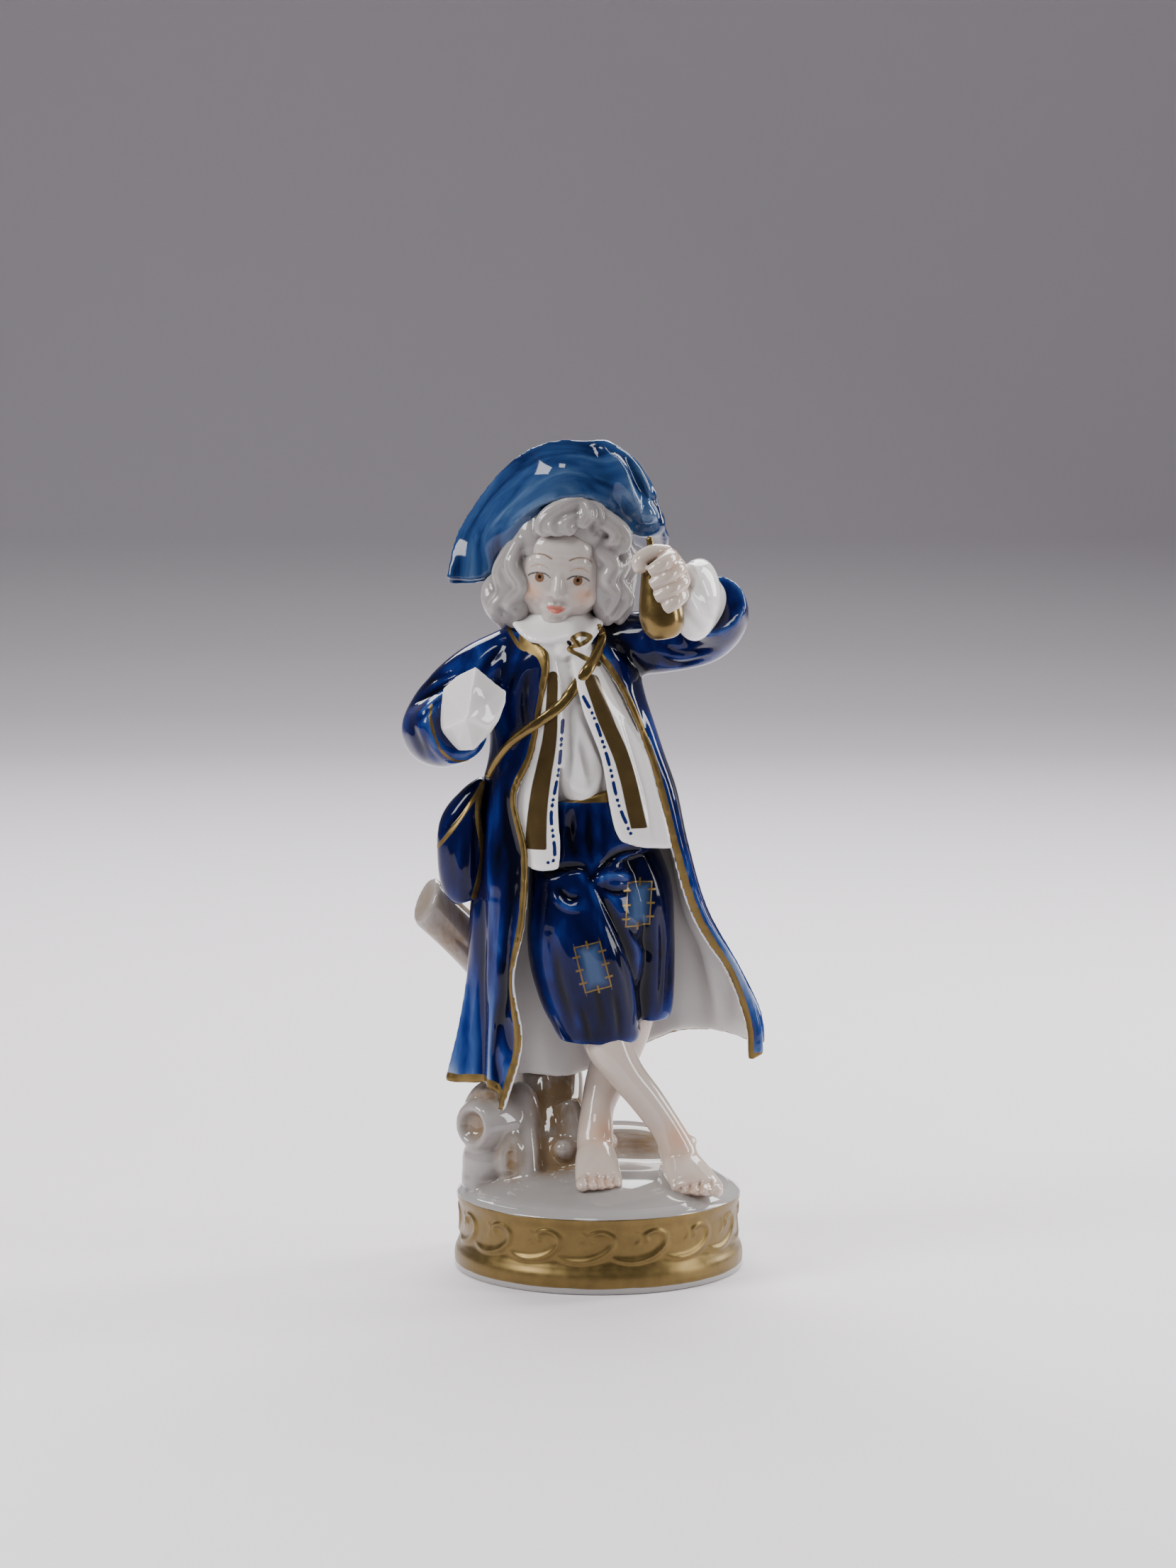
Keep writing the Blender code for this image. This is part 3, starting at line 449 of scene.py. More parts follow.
def sheet(columns, across, down, thickness, shape=None):
    """A thick sheet over columns of points, as points and faces, with its middle surface."""
    ran = np.array([through(column, down) for column in columns])
    middle = np.array([through(ran[:, row], across) for row in range(down)])
    if shape is not None:
        middle = shape(middle, normals_of(middle))
    out = normals_of(middle)
    verts = np.concatenate([middle + out * thickness / 2, middle - out * thickness / 2]).reshape(-1, 3)
    half = across * down
    top = grid_faces(down, across, False)
    faces = top + [tuple(half + i for i in reversed(face)) for face in top]
    rim = list(range(across))
    rim += [r * across + across - 1 for r in range(1, down)]
    rim += [(down - 1) * across + i for i in range(across - 2, -1, -1)]
    rim += [r * across for r in range(down - 2, 0, -1)]
    for a, b in zip(rim, rim[1:] + rim[:1]):
        faces.append((b, a, half + a, half + b))
    return (list(verts), faces), middle


def normals_of(middle):
    """The unit normals of a grid of points."""
    out = np.cross(np.gradient(middle, axis=1), np.gradient(middle, axis=0))
    return out / np.maximum(np.linalg.norm(out, axis=2, keepdims=True), SMALLEST)


def neighbours(piece):
    """The two points of each of the piece's edges."""
    pairs = np.zeros(len(piece.data.edges) * 2, np.int32)
    piece.data.edges.foreach_get("vertices", pairs)
    return pairs.reshape(-1, 2)


def smoothed(values, pairs, passes):
    """Values on the points after so many rounds of averaging with their neighbours."""
    count = np.bincount(pairs.ravel(), minlength=len(values))[:, None]
    for _ in range(passes):
        total = np.zeros_like(values)
        for k in range(values.shape[1]):
            total[:, k] = np.bincount(pairs[:, 0], values[pairs[:, 1], k], len(values))
            total[:, k] += np.bincount(pairs[:, 1], values[pairs[:, 0], k], len(values))
        values = 0.5 * values + 0.5 * total / count
    return values


def fuse(name, forms, grain, passes):
    """Melts forms into one skin, as slip does, with faces of the grain's size."""
    verts, faces = [], []
    for form_verts, form_faces in forms:
        faces += [tuple(len(verts) + i for i in face) for face in form_faces]
        verts += [tuple(v) for v in form_verts]
    piece = placed(name, verts, faces)
    modify(piece, "REMESH", mode="VOXEL", voxel_size=grain * MM)
    skin = bmesh.new()
    skin.from_mesh(piece.data)
    left = set(skin.verts)
    shells = []
    while left:
        shell = [left.pop()]
        for vert in shell:
            for edge in vert.link_edges:
                other = edge.other_vert(vert)
                if other in left:
                    left.remove(other)
                    shell.append(other)
        shells.append(shell)
    for shell in sorted(shells, key=len)[:-1]:
        bmesh.ops.delete(skin, geom=shell, context="VERTS")
    skin.to_mesh(piece.data)
    skin.free()
    put(piece, smoothed(places(piece), neighbours(piece), passes))
    return piece


def press(piece, marks, behind=99):
    """Pushes grooves in, or ridges out, along drawn lines. Each is a line, a half width and
    a depth, which is below 0 for a groove and fades at the line's ends. A line of x and z alone is
    drawn as seen from the front, on what faces forward and isn't behind that y."""
    at, facing = places(piece), facings(piece)
    moved = at.copy()
    for line, width, depth in marks:
        flat = len(line[0]) == 2
        drawn = through(line, (5 if flat else 4) * len(line))
        spots = at[:, (0, 2)] if flat else at
        low, high = drawn.min(axis=0) - 4 * width, drawn.max(axis=0) + 4 * width
        near = np.all((spots > low) & (spots < high), axis=1)
        if flat:
            near &= (facing[:, 1] < 0.3) & (at[:, 1] < behind)
        gap, walked = along_line(spots[near], drawn)
        length = np.linalg.norm(np.diff(drawn, axis=0), axis=1).sum()
        fade = np.sin(np.pi * np.clip(walked / length, 0.03, 0.97)) ** 0.6
        moved[near] += facing[near] * (depth * fade * np.exp(-((gap / width) ** 2)))[:, None]
    put(piece, moved)


def note_swell(piece, passes=40):
    """Notes how far each point stands out of the smoothed surface: below 0 in the hollows."""
    at = places(piece)
    stands = (at - smoothed(at, neighbours(piece), passes)) * facings(piece)
    note(piece, "swell", np.sum(stands, axis=1))


def spot(at, centre, reach):
    """A soft round spot on the points: 1 at its centre, fading out over its reach."""
    return np.exp(-np.sum(((at - centre) / reach) ** 2, axis=1))


MOUND_AT = (6, 9)
MOUND_REACH = (11.5, 8.5)
MOUND_RISE = 5.6
GROUND_RADIUS = 25.3
GROUND_RINGS = 25
UP = (0, 0, 1)
dome = [(0.5, 10), (GROUND_RADIUS - 0.7, 10), (GROUND_RADIUS, 12.6)]
for step in range(1, GROUND_RINGS):
    radius = GROUND_RADIUS * (1 - step / GROUND_RINGS) + 0.4 * step / GROUND_RINGS
    dome.append((radius, SHOULDER_HEIGHT + 0.1 + DOME_RISE * (1 - (radius / BAND_TOP) ** 3)))
ground_verts, ground_faces = lathe((0, 0, 0), UP, dome, 128)
for vert in ground_verts:
    if vert.z > SHOULDER_HEIGHT:
        off = sum(((vert[k] - MOUND_AT[k]) / MOUND_REACH[k]) ** 2 for k in (0, 1))
        inland = min(1, max(0, (GROUND_RADIUS - math.hypot(vert.x, vert.y)) / 5))
        vert.z += MOUND_RISE * math.exp(-(off**2)) * inland
trunk = [
    (-9, 1, 13.6, 12, 10), (-9, 1.8, 20, 8.8, 8), (-9.2, 4.4, 26, 6.8, 6.8),
    (-9.6, 8.6, 32, 6.9, 6.2), (-11, 11.6, 38, 7.2, 6), (-13.4, 12.6, 46, 7.2, 6.2),
    (-15.4, 12.8, 55, 7, 6.2), (-16.4, 12.8, 63, 6.4, 5.8),
]
branch = [(0.4, 23), (2.4, 23.2), (3.7, 23.4), (4.3, 23.1), (4.4, 22.2), (4.3, 16), (4.6, 8), (5.6, 0)]
burl = [
    (0.4, 8.2), (1.2, 8.3), (2, 8.9), (2.7, 10.2), (3.3, 10.7), (4.1, 10.3), (4.9, 8.2), (5.6, 4.6),
    (5.8, 0),
]
roots = [
    [(-13.6, -1, 31, 2, 2.6), (-13.2, -5.4, 24, 2.1, 2.4), (-13.2, -8.4, 17.4, 2.6, 2.4)],
    [(-18.4, -1, 23, 4.4, 4.4), (-21.4, -4.4, 18.6, 3.8, 3.8), (-23, -6.2, 14.8, 2.4, 2.4)],
    [(-6, 0.4, 30, 2.6, 2.6), (-4.6, -2.4, 24, 2.8, 2.6), (-3.8, -4.6, 18, 2.6, 2.4)],
    [(-16, 10, 22, 4, 4), (-19, 13, 16.6, 3, 3), (-20.4, 14.6, 13.6, 2, 2)],
    [(-6, 10, 22, 3.6, 3.6), (-3, 15, 17, 2.6, 2.6), (-1.6, 17.6, 14, 1.8, 1.8)],
]
knobs = [
    ((-19.4, -2, 27), (6, 5.6, 8)),
    ((-20.6, -4.6, 20.4), (4.6, 4.6, 5.4)),
    ((-16.2, -7.6, 21.4), (2.9, 2.8, 4.6)),
    ((-14.4, -1, 26), (4.2, 5, 8.4)),
    ((-6.4, -6, 22.6), (2.1, 1.9, 2)),
]
# The side branch leans out to his right, and its end is sawn at a slant.
BRANCH_FOOT = Vector((-16.6, 10.4, 51.4))
BRANCH_WAY = Vector((-0.66, -0.3, 0.69)).normalized()
BRANCH_UNDER = Vector((-0.37, 0, -0.93))
BRANCH_CUT = -0.4
limb_verts, limb_faces = lathe(BRANCH_FOOT, BRANCH_WAY, through(branch, 40))
for vert in limb_verts:
    ahead = (vert - BRANCH_FOOT).dot(BRANCH_WAY)
    low = (vert - BRANCH_FOOT - BRANCH_WAY * ahead).dot(BRANCH_UNDER)
    vert += BRANCH_WAY * (BRANCH_CUT * low * max(0, ahead) / branch[0][1])
forms = [(ground_verts, ground_faces), loft(trunk), (limb_verts, limb_faces)]
forms += [lathe((-16.4, -0.4, 27.2), (-0.66, -0.75, 0.02), through(burl, 40))]
forms += [loft(root) for root in roots]
forms += [orb(centre, radii) for centre, radii in knobs]
stump = fuse("ground_and_stump", forms, 0.42, 9)
bark = [
    ([(-10.6, -4.6, 21), (-10.4, -1.8, 27), (-10.4, 2.6, 35)], 0.9, -0.7),
    ([(-7.4, -3.6, 24), (-7.6, 0, 30), (-8, 3, 36)], 0.8, -0.4),
    ([(-16.2, -9.8, 19.4), (-16, -10, 23.6)], 1.3, -1),
    ([(-8.4, -6.6, 18.6), (-6, -7, 18.8)], 0.9, -0.6),
    ([(-20, 4.6, 54), (-30, -0.4, 64.6)], 0.8, -0.4),
    ([(-20.6, 8, 58.6), (-29, 4.6, 68)], 0.7, -0.3),
    ([(-16, 18.6, 26), (-16.6, 18.8, 44), (-17.6, 18.6, 60)], 1, -0.6),
    ([(-10.6, 18, 22), (-10.8, 18.2, 40), (-12.6, 18.4, 58)], 0.9, -0.5),
    ([(-21.6, 9.6, 24), (-21.4, 12.6, 44)], 0.9, -0.5),
]
press(stump, bark)
note_swell(stump)
# Where the brown was brushed: a place, its reach and the strength. It is thick in the hollows of
# the stump and thin over the mound.
BRUSHED = [
    ((-7.6, 2, 30), (6, 9, 8), 1), ((-8, -5, 21), (5.4, 6, 4.6), 1),
    ((-16, -9.6, 21.6), (2.6, 3.4, 4), 0.9), ((-22.4, -8, 27.2), (2.2, 3, 3.2), 0.7),
    ((-20, -4, 33), (5.4, 6, 2.2), 0.8), ((-24.6, -4, 28), (1.6, 5, 6), 0.5),
    ((10, 6, 22), (12, 9, 2.6), 1), ((-27, 5, 62), (9, 9, 10), 0.9),
    ((-13, 18, 40), (9, 6, 20), 0.9),
]
brushed = [strength * spot(places(stump), centre, reach) for centre, reach, strength in BRUSHED]
note(stump, "brushed", np.max(brushed, axis=0))

# Thin brown enamel dragged by a coarse brush, upright on the stump and level on the mound: each
# hair leaves a line of about 0.9 by 9 mm, and the glaze over them is clear and wet.
HAIR_LINE = 0.909
LEVEL_LINE = 0.769
HAIR_DRAG = 9.09
CLOUD = 6.67
brushed_bark, tree, shader = new_material("brushed_brown_on_porcelain")
glaze(shader)
place = add(tree, "TexCoord", out="Object")
grains = []
for lengths in ((HAIR_DRAG, HAIR_LINE, LEVEL_LINE), (HAIR_LINE, HAIR_LINE, HAIR_DRAG)):
    feeds = {"Vector": place, "Scale": [1 / (length * MM) for length in lengths]}
    grains.append(add(tree, "Mapping", feeds))
beside_mound = within(tree, add(tree, "SeparateXYZ", {"Vector": place}, "X"), -1 * MM, soft=0.5 * MM)
grain = add(tree, "Mix", {0: beside_mound, 4: grains[0], 5: grains[1]}, 1, data_type="VECTOR")
strokes = add(tree, "TexNoise", {"Vector": grain, "Scale": 1, "Detail": 3})
cloud = add(tree, "TexNoise", {"Vector": place, "Scale": 1 / (CLOUD * MM), "Detail": 2})
amount = add(tree, "Math", {0: strokes, 1: -0.2}, operation="ADD")
amount = add(tree, "Math", {0: kept(tree, "swell"), 1: -0.5, 2: amount}, operation="MULTIPLY_ADD")
amount = add(tree, "Math", {0: cloud, 1: 0.6, 2: amount}, operation="MULTIPLY_ADD")
amount = add(tree, "Math", {0: amount, 1: kept(tree, "brushed")}, operation="MULTIPLY", use_clamp=True)
brown = add(tree, "MapRange", {"Value": amount, "From Min": 0.04, "From Max": 0.5, "To Max": 0.95})
# Painted shade: the white is a grey, and a darker grey in the hollows.
hollow_shade = within(tree, kept(tree, "swell"), -0.1, soft=0.3)
lay(tree, shader, srgb("#9a9592"), [(srgb("#857e79"), hollow_shade), (srgb("#7c6549"), brown)])
finish(stump, brushed_bark)


# His legs and feet: bare and cast solid, with the right one crossed in front, luted to the base and
# wiped with a flesh tint round the ankles and between the toes.


def toes(side, big_toe, spread):
    """Five toes in a slight arc, from the big toe out to the side."""
    made = []
    for i in range(5):
        size = 1.35 if i == 0 else 1.1 - 0.05 * i
        x = big_toe[0] + side * spread * (i + 0.25 * min(i, 1)) / 4.25
        made.append(orb((x, big_toe[1] + 0.16 * i * i, big_toe[2] - 0.06 * i), (size, 2.4, size)))
    return made


def toe_gaps(side, big_toe, spread):
    """The grooves between the toes."""
    made = []
    for i in range(4):
        x = big_toe[0] + side * spread * (i + 0.25 * min(i, 1) + (0.6 if i == 0 else 0.5)) / 4.25
        y, z = big_toe[1] + 0.16 * i * i, big_toe[2] - 0.06 * i
        made.append(([(x, y + 2.4, z + 1.7), (x, y - 0.2, z + 1.1), (x, y - 2.2, z - 0.3)], 0.36, -0.5))
    return made


left_shin = [
    (7, 1, 50, 4.4, 4.4), (4.4, 0.8, 42, 4.4, 4.4), (1.4, 0.2, 34.5, 3.8, 3.9),
    (-0.2, -1.8, 29.4, 3.1, 3.5), (-0.6, -4, 24.8, 3.4, 3.9), (-0.5, -5.4, 20.8, 3.8, 4.2),
]
left_foot = [
    (-0.8, -1.8, 20, 2.8, 2.8), (-0.5, -6, 21.2, 3.7, 3.9), (-0.3, -11, 20.4, 4.1, 3.1),
    (0, -15, 19, 4.3, 2.1), (0.1, -16.6, 18.5, 4, 1.5),
]
right_shin = [
    (0.6, -4.8, 46, 4.8, 4.8), (2.2, -6.4, 41.5, 4.3, 4.6), (5.1, -6.8, 36.8, 3.4, 4),
    (8.9, -6.6, 31.9, 3.1, 3.5), (12.3, -6.4, 26.9, 2.9, 3.3), (14.6, -6.8, 22.4, 3.3, 3.8),
    (15.4, -7.4, 19, 3.6, 3.8),
]
right_foot = [
    (13.6, -3.4, 18.6, 2.6, 2.8), (14.8, -6.8, 19.8, 3.6, 3.8), (16.3, -10.4, 19, 4.4, 3.1),
    (17.7, -13.4, 17.6, 4.9, 2.2), (18, -15, 17.1, 4.7, 1.5),
]
forms = [loft(left_shin), loft(left_foot, UP), loft(right_shin), loft(right_foot, UP)]
forms += [orb((2.6, -3.6, 23.6), (1, 1.3, 1.2)), orb((-3.9, -3.4, 23.2), (1, 1.3, 1.2))]
forms += [orb((17, -6, 24), (1.1, 1.3, 1.2)), orb((11.8, -6.8, 22.6), (1, 1.3, 1.2))]
LEFT_TOES = (1, (-2.9, -17.8, 18.6), 6.4)
RIGHT_TOES = (-1, (21.4, -15.6, 17.1), 7.2)
forms += toes(*LEFT_TOES) + toes(*RIGHT_TOES)
legs = fuse("bare_legs", forms, 0.3, 6)
sinews = [
    ([(0.4, -7.4, 23.6), (0.2, -12, 22.6), (-2.4, -16, 20.4)], 0.5, 0.2),
    ([(0.9, -7.4, 23.6), (1, -12, 22.4), (0.4, -16, 20.2)], 0.45, 0.16),
    ([(15.6, -9.6, 22.2), (17.6, -12, 20.8), (20.6, -14.4, 18.6)], 0.5, 0.2),
    ([(15, -9.6, 22), (16.2, -12.4, 20.4), (18, -14.8, 18.6)], 0.45, 0.16),
]
press(legs, sinews + toe_gaps(*LEFT_TOES) + toe_gaps(*RIGHT_TOES))
note_swell(legs, 60)
at = places(legs)
ankles = spot(at, (0.6, -6, 25.6), (2.6, 4, 3)) + spot(at, (14.6, -8.6, 25.4), (2.8, 4, 3.4))
toe_tips = spot(at, (1, -18, 18.6), (4.4, 2.4, 2)) + spot(at, (18, -16, 17), (4.8, 2.4, 2))
note(legs, "flush", 0.8 * ankles + 0.45 * toe_tips)

# Pale flesh enamel under a clear glaze: cool and creamy, warmer where it was wiped on twice.
flesh, tree, shader = new_material("flesh_tinted_porcelain")
glaze(shader)
# Painted shade: the flesh ground is a greyer tone than the lit white, and darker again in the creases.
hollow_shade = within(tree, kept(tree, "swell"), -0.08, soft=0.2)
warm = add(tree, "MapRange", {"Value": kept(tree, "flush"), "From Max": 0.9, "To Max": 0.8})
crease_shade = times(tree, hollow_shade, 0.45)
lay(tree, shader, srgb("#c3b4a8"), [(srgb("#c99674"), warm), (srgb("#b08c76"), crease_shade)])
finish(legs, flesh)


# The breeches: full cloth gathered below the knee, with two sewn patches and a gilded waist, cast with
# the body and painted in cobalt under the glaze.
right_leg = [
    (-3, -1.5, 84, 7.5, 6.5), (-3.4, -3.6, 76, 9.2, 7.4), (-2.6, -5, 68, 10.4, 8.2),
    (-2.3, -5.4, 60, 10.7, 8.2), (-1.4, -5.2, 53, 9.9, 7.6), (-0.4, -5, 48, 8.7, 7),
    (0, -4.8, 44.8, 7.9, 6.4), (0, -4.8, 42.8, 7.2, 6),
]
left_leg = [
    (1.6, 0.5, 84, 7.4, 6.5), (4.2, 0.4, 77, 6.6, 7), (6.6, 0.4, 70, 6.9, 7.2),
    (8, 0.6, 62, 6, 6.8), (8.4, 0.8, 53, 5.6, 6), (8.6, 0.8, 48, 5.1, 5.5),
    (8.6, 0.8, 46, 4.4, 4.8),
]
waist = [
    (0.4, -1, 76, 10.4, 8.6), (-1, -1, 82, 10.6, 8.8), (-2.4, -1, 86.8, 10, 8.9),
    (-2.8, -1, 88.4, 9.6, 8.7),
]
breeches = fuse("breeches", [loft(right_leg), loft(left_leg), loft(waist)], 0.4, 5)
tucks = [
    ([(-1.2, 74), (1, 70), (4.4, 63.5), (6.9, 57), (8.1, 50), (7.9, 46)], 0.9, -1.5),
    ([(-5, 75), (0, 68.5), (3, 62.5), (5.4, 55), (6.4, 47.5)], 0.9, -0.45),
    ([(-1.2, 74), (-3, 75.8), (-6.9, 75.6), (-10.8, 74)], 0.8, -0.8),
    ([(-1.2, 74), (1.4, 76.6), (4.4, 78.2), (8, 78.4)], 0.8, -0.8),
    ([(-0.4, 73.6), (2.6, 74.2), (6.4, 73.4)], 0.7, 0.5),
    ([(0.3, 72.6), (3, 71.4), (6, 71.4)], 0.7, -0.7),
    ([(4.6, 66.5), (8.6, 60.4), (8.6, 57)], 0.8, -0.5),
    ([(-7.4, 72), (-5.4, 70.4), (-3, 70.6)], 0.6, -0.5),
    ([(-8.4, 70.6), (-5.8, 68.8), (-2.6, 68.4)], 0.7, 0.4),
    ([(-2, 87), (-1.8, 81), (-1.2, 76)], 0.6, -0.4),
    ([(-5, 87), (-5.2, 81), (-4.2, 77)], 0.8, -0.35),
    ([(0.6, 86), (1.2, 81), (0.4, 77)], 0.7, -0.3),
    ([(-3.4, 62), (-0.6, 54), (1.2, 45.6)], 0.9, -0.35),
    ([(-8.8, 64), (-7, 54), (-4.2, 44.4)], 1, -0.45),
    ([(-3.4, 50.6), (-2.2, 46.4), (-1.6, 43.2)], 0.6, -0.35),
    ([(2.8, 53), (3.6, 48), (3.8, 44)], 0.6, -0.4),
    ([(11.4, 66), (11.8, 58), (11.2, 48.6)], 0.7, -0.4),
    ([(13, 60), (12.9, 54), (12.4, 47.6)], 0.5, -0.3),
]
press(breeches, tucks)
note_swell(breeches)

# Two patches: the middle in x and z, the lean in degrees, and half the width and height.
PATCHES = [((7.3, 68.6), -3, (2.2, 3.9)), ((-1.1, 57.8), 14, (2.4, 4.3))]

# The cobalt wash runs in soft streaks of about 7 by 17 mm.
WASH_ACROSS = 6.667
WASH_DOWN = 16.667


def cobalt(tree):
    """Underglaze cobalt: it pools dark in the hollows and runs thin and pale over the ridges."""
    place = add(tree, "TexCoord", out="Object")
    scale = [1 / (size * MM) for size in (WASH_ACROSS, WASH_ACROSS, WASH_DOWN)]
    streaks = add(tree, "Mapping", {"Vector": place, "Scale": scale})
    wash = add(tree, "TexNoise", {"Vector": streaks, "Scale": 1, "Detail": 3, "Distortion": 0.6})
    wash = add(tree, "Math", {0: wash, 1: 0.85, 2: kept(tree, "thin")}, operation="MULTIPLY_ADD")
    thin = add(tree, "Math", {0: kept(tree, "swell"), 1: 0.7, 2: wash}, operation="MULTIPLY_ADD")
    blues = ((0.3, "#010314"), (0.5, "#040b3e"), (0.62, "#0d2263"), (0.78, "#345088"), (1.0, "#8090ae"))
    return add(tree, "ValToRGB", {"Fac": thin}, stops=blues)


def either(tree, *masks):
    """The largest of the masks."""
    found = masks[0]
    for mask in masks[1:]:
        found = add(tree, "Math", {0: found, 1: mask}, operation="MAXIMUM")
    return found


# Cobalt under a thick glaze: deep ink blue that darkens in the folds, with patches where it was wiped
# to a worn grey-blue and gilded stitches drawn with a fine brush, 1.25 mm apart.
STITCH_STEP = 1.25
WAIST_HEIGHT = 87.5
blue_cloth, tree, shader = new_material("patched_cobalt_porcelain")
glaze(shader, sheen=0.19)
place = add(tree, "TexCoord", out="Object")
in_front = within(tree, add(tree, "SeparateXYZ", {"Vector": place}, "Y"), -2 * MM, soft=0.2 * MM)
fields, stitched = [], []
for (x, z), lean, halves in PATCHES:
    feeds = {"Vector": place, "Center": (x * MM, 0, z * MM), "Angle": math.radians(lean)}
    turned = add(tree, "VectorRotate", feeds, rotation_type="Y_AXIS")
    beyond, ticks = [], []
    for axis, middle, half in zip("XZ", (x, z), halves):
        along = add(tree, "SeparateXYZ", {"Vector": turned}, axis)
        along = add(tree, "Math", {0: along, 1: 1 / MM, 2: -middle}, operation="MULTIPLY_ADD")
        reach = add(tree, "Math", {0: along}, operation="ABSOLUTE")
        beyond.append(add(tree, "Math", {0: reach, 1: half}, operation="SUBTRACT"))
        saw = add(tree, "Math", {0: times(tree, along, 1 / STITCH_STEP), 1: 1}, operation="PINGPONG")
        ticks.append(within(tree, saw, 0.14, soft=0.05))
    outside = either(tree, *beyond)
    fields.append(within(tree, outside, -0.7, soft=0.9))
    rim = add(tree, "Math", {0: outside}, operation="ABSOLUTE")
    hem = within(tree, rim, 0.13, soft=0.05, wobble=0.06, length=1.11)
    near = within(tree, rim, 0.75, soft=0.08)
    crossed = [times(tree, tick, within(tree, past, 0), near) for tick, past in zip(ticks, beyond)]
    stitched.append(either(tree, hem, *crossed))
height = times(tree, add(tree, "SeparateXYZ", {"Vector": place}, "Z"), 1 / MM)
above = within(tree, height, WAIST_HEIGHT, soft=0.1, wobble=0.2, length=5)
waist_line = add(tree, "Math", {0: 1, 1: above}, operation="SUBTRACT")
faded = times(tree, either(tree, *fields), in_front)
gilding = either(tree, times(tree, either(tree, *stitched), in_front), waist_line)
lay(tree, shader, cobalt(tree), [(srgb("#3a4f72"), faded)], gilding)
finish(breeches, blue_cloth)


# The coat: a long open coat with a white lining and gilded edges, cast with its sleeves and luted to
# the body. Its skirt swings out in soft upright folds, and its outside is painted in cobalt.
COAT_WALL = 1.5
COAT_WAIST = 90
# Columns of places down the middle of its cloth, from the right front edge round the back to the left.
COAT_COLUMNS = [
    [(-12.8, -6.4, 118), (-9, -10.4, 114.2), (-10.2, -10.2, 105), (-12, -10.4, 96), (-15, -10.6, 88.5),
     (-12.9, -11.4, 78.5), (-13.4, -12, 66), (-15.6, -11.4, 55), (-14.2, -10.6, 43), (-17.8, -10.2, 30.4)],
    [(-15, -3, 118), (-15.6, -6, 112), (-16.2, -6.8, 105), (-17, -7.4, 95.5), (-18.6, -7.6, 88.5),
     (-18.4, -8.2, 78.5), (-18.8, -8.4, 66), (-19.6, -8, 55), (-19.4, -7.6, 44), (-19.6, -7.2, 34.6)],
    [(-15, 0.5, 119), (-18.6, 0.5, 112.5), (-19.2, 0.5, 105), (-19.2, 0, 95.5), (-20.6, -0.8, 88.5),
     (-21.8, -1, 78.5), (-22.6, -1.8, 66), (-22.9, -2, 55), (-24.4, -2.4, 44), (-26.4, -3.2, 34.6)],
    [(-12, 4, 120), (-15, 6.4, 112.5), (-15.4, 7.6, 105), (-15, 7.8, 95.5), (-15.4, 7.6, 88.5),
     (-15.8, 7, 78.5), (-15.8, 5.4, 66), (-15.6, 4.4, 55), (-15.2, 3.6, 44), (-14.4, 2.6, 35)],
    [(-7.5, 5.4, 120.5), (-7, 8.2, 112.5), (-6, 9, 105), (-4.6, 9.2, 95.5), (-3.2, 9.4, 88.5),
     (-1.8, 10, 78.5), (-1, 9.4, 66), (-1.4, 8, 55), (-2.6, 6.2, 44), (-4, 4.6, 34.6)],
    [(-2.5, 4, 120), (1.6, 7, 112.5), (3.4, 8, 105), (5.6, 8.2, 95.5), (7.8, 8.8, 88.5),
     (10.2, 9.8, 78.5), (12.4, 10.4, 66), (14.4, 10.2, 56), (15.4, 8.8, 47), (15.8, 7, 42.4)],
    [(0.6, 1, 119), (5.6, 1.4, 112.5), (8, 0.4, 104.5), (10.7, 0.2, 95.5), (13, 0.4, 88.5),
     (15, 1.4, 78.5), (18.2, 2.6, 66), (23.6, 3.2, 55), (27.2, 2.4, 47), (28, 0.8, 41.6)],
    [(-1, -3.8, 117.8), (4, -5.6, 112.4), (7.6, -6.2, 104.5), (10.9, -6, 95.5), (13.2, -5.8, 88.5),
     (15.4, -4.8, 78.5), (19.2, -3, 66), (25.2, -2, 55), (28.3, -2.4, 46.6), (28.8, -2.6, 40)],
    [(-3, -5.5, 116.6), (1.4, -8.2, 112), (5.7, -8.8, 104.5), (9.2, -8.4, 95.5), (11.3, -8.2, 88.5),
     (13.8, -7.2, 78.5), (17.6, -5.2, 66), (24, -4, 55), (27.4, -3.8, 46), (28.2, -4, 38.6)],
]


def coat_folds(middle, out):
    """Upright folds that grow from the waist down to the hem."""
    u = np.linspace(0, 1, middle.shape[1])[None, :]
    v = np.linspace(0, 1, middle.shape[0])[:, None]
    depth = 1.25 * np.clip(v - 0.3, 0, 1) ** 1.2
    wave = np.cos(2 * np.pi * (7.5 * u + 0.15)) + 0.45 * np.cos(2 * np.pi * (15 * u + 0.3 + v))
    return middle + out * (depth * wave)[:, :, None]


# The distance noted for a place that no stroke reaches.
UNPAINTED = 2.0


def stroke_gaps(piece, strokes, behind=99):
    """Each point's distance to the nearest edge of strokes drawn as seen from the front, below 0
    inside them. A stroke is its line of x and z, and half its width, or its half widths at both ends."""
    at = places(piece)
    best = np.full(len(at), UNPAINTED)
    for line, half in strokes:
        gap, walked = along_line(at[:, (0, 2)], through(line, 5 * len(line)))
        if isinstance(half, tuple):
            half = np.interp(walked, (0, walked.max()), half)
        best = np.minimum(best, gap - half)
    return np.where((facings(piece)[:, 1] < 0.25) & (at[:, 1] < behind), best, UNPAINTED)


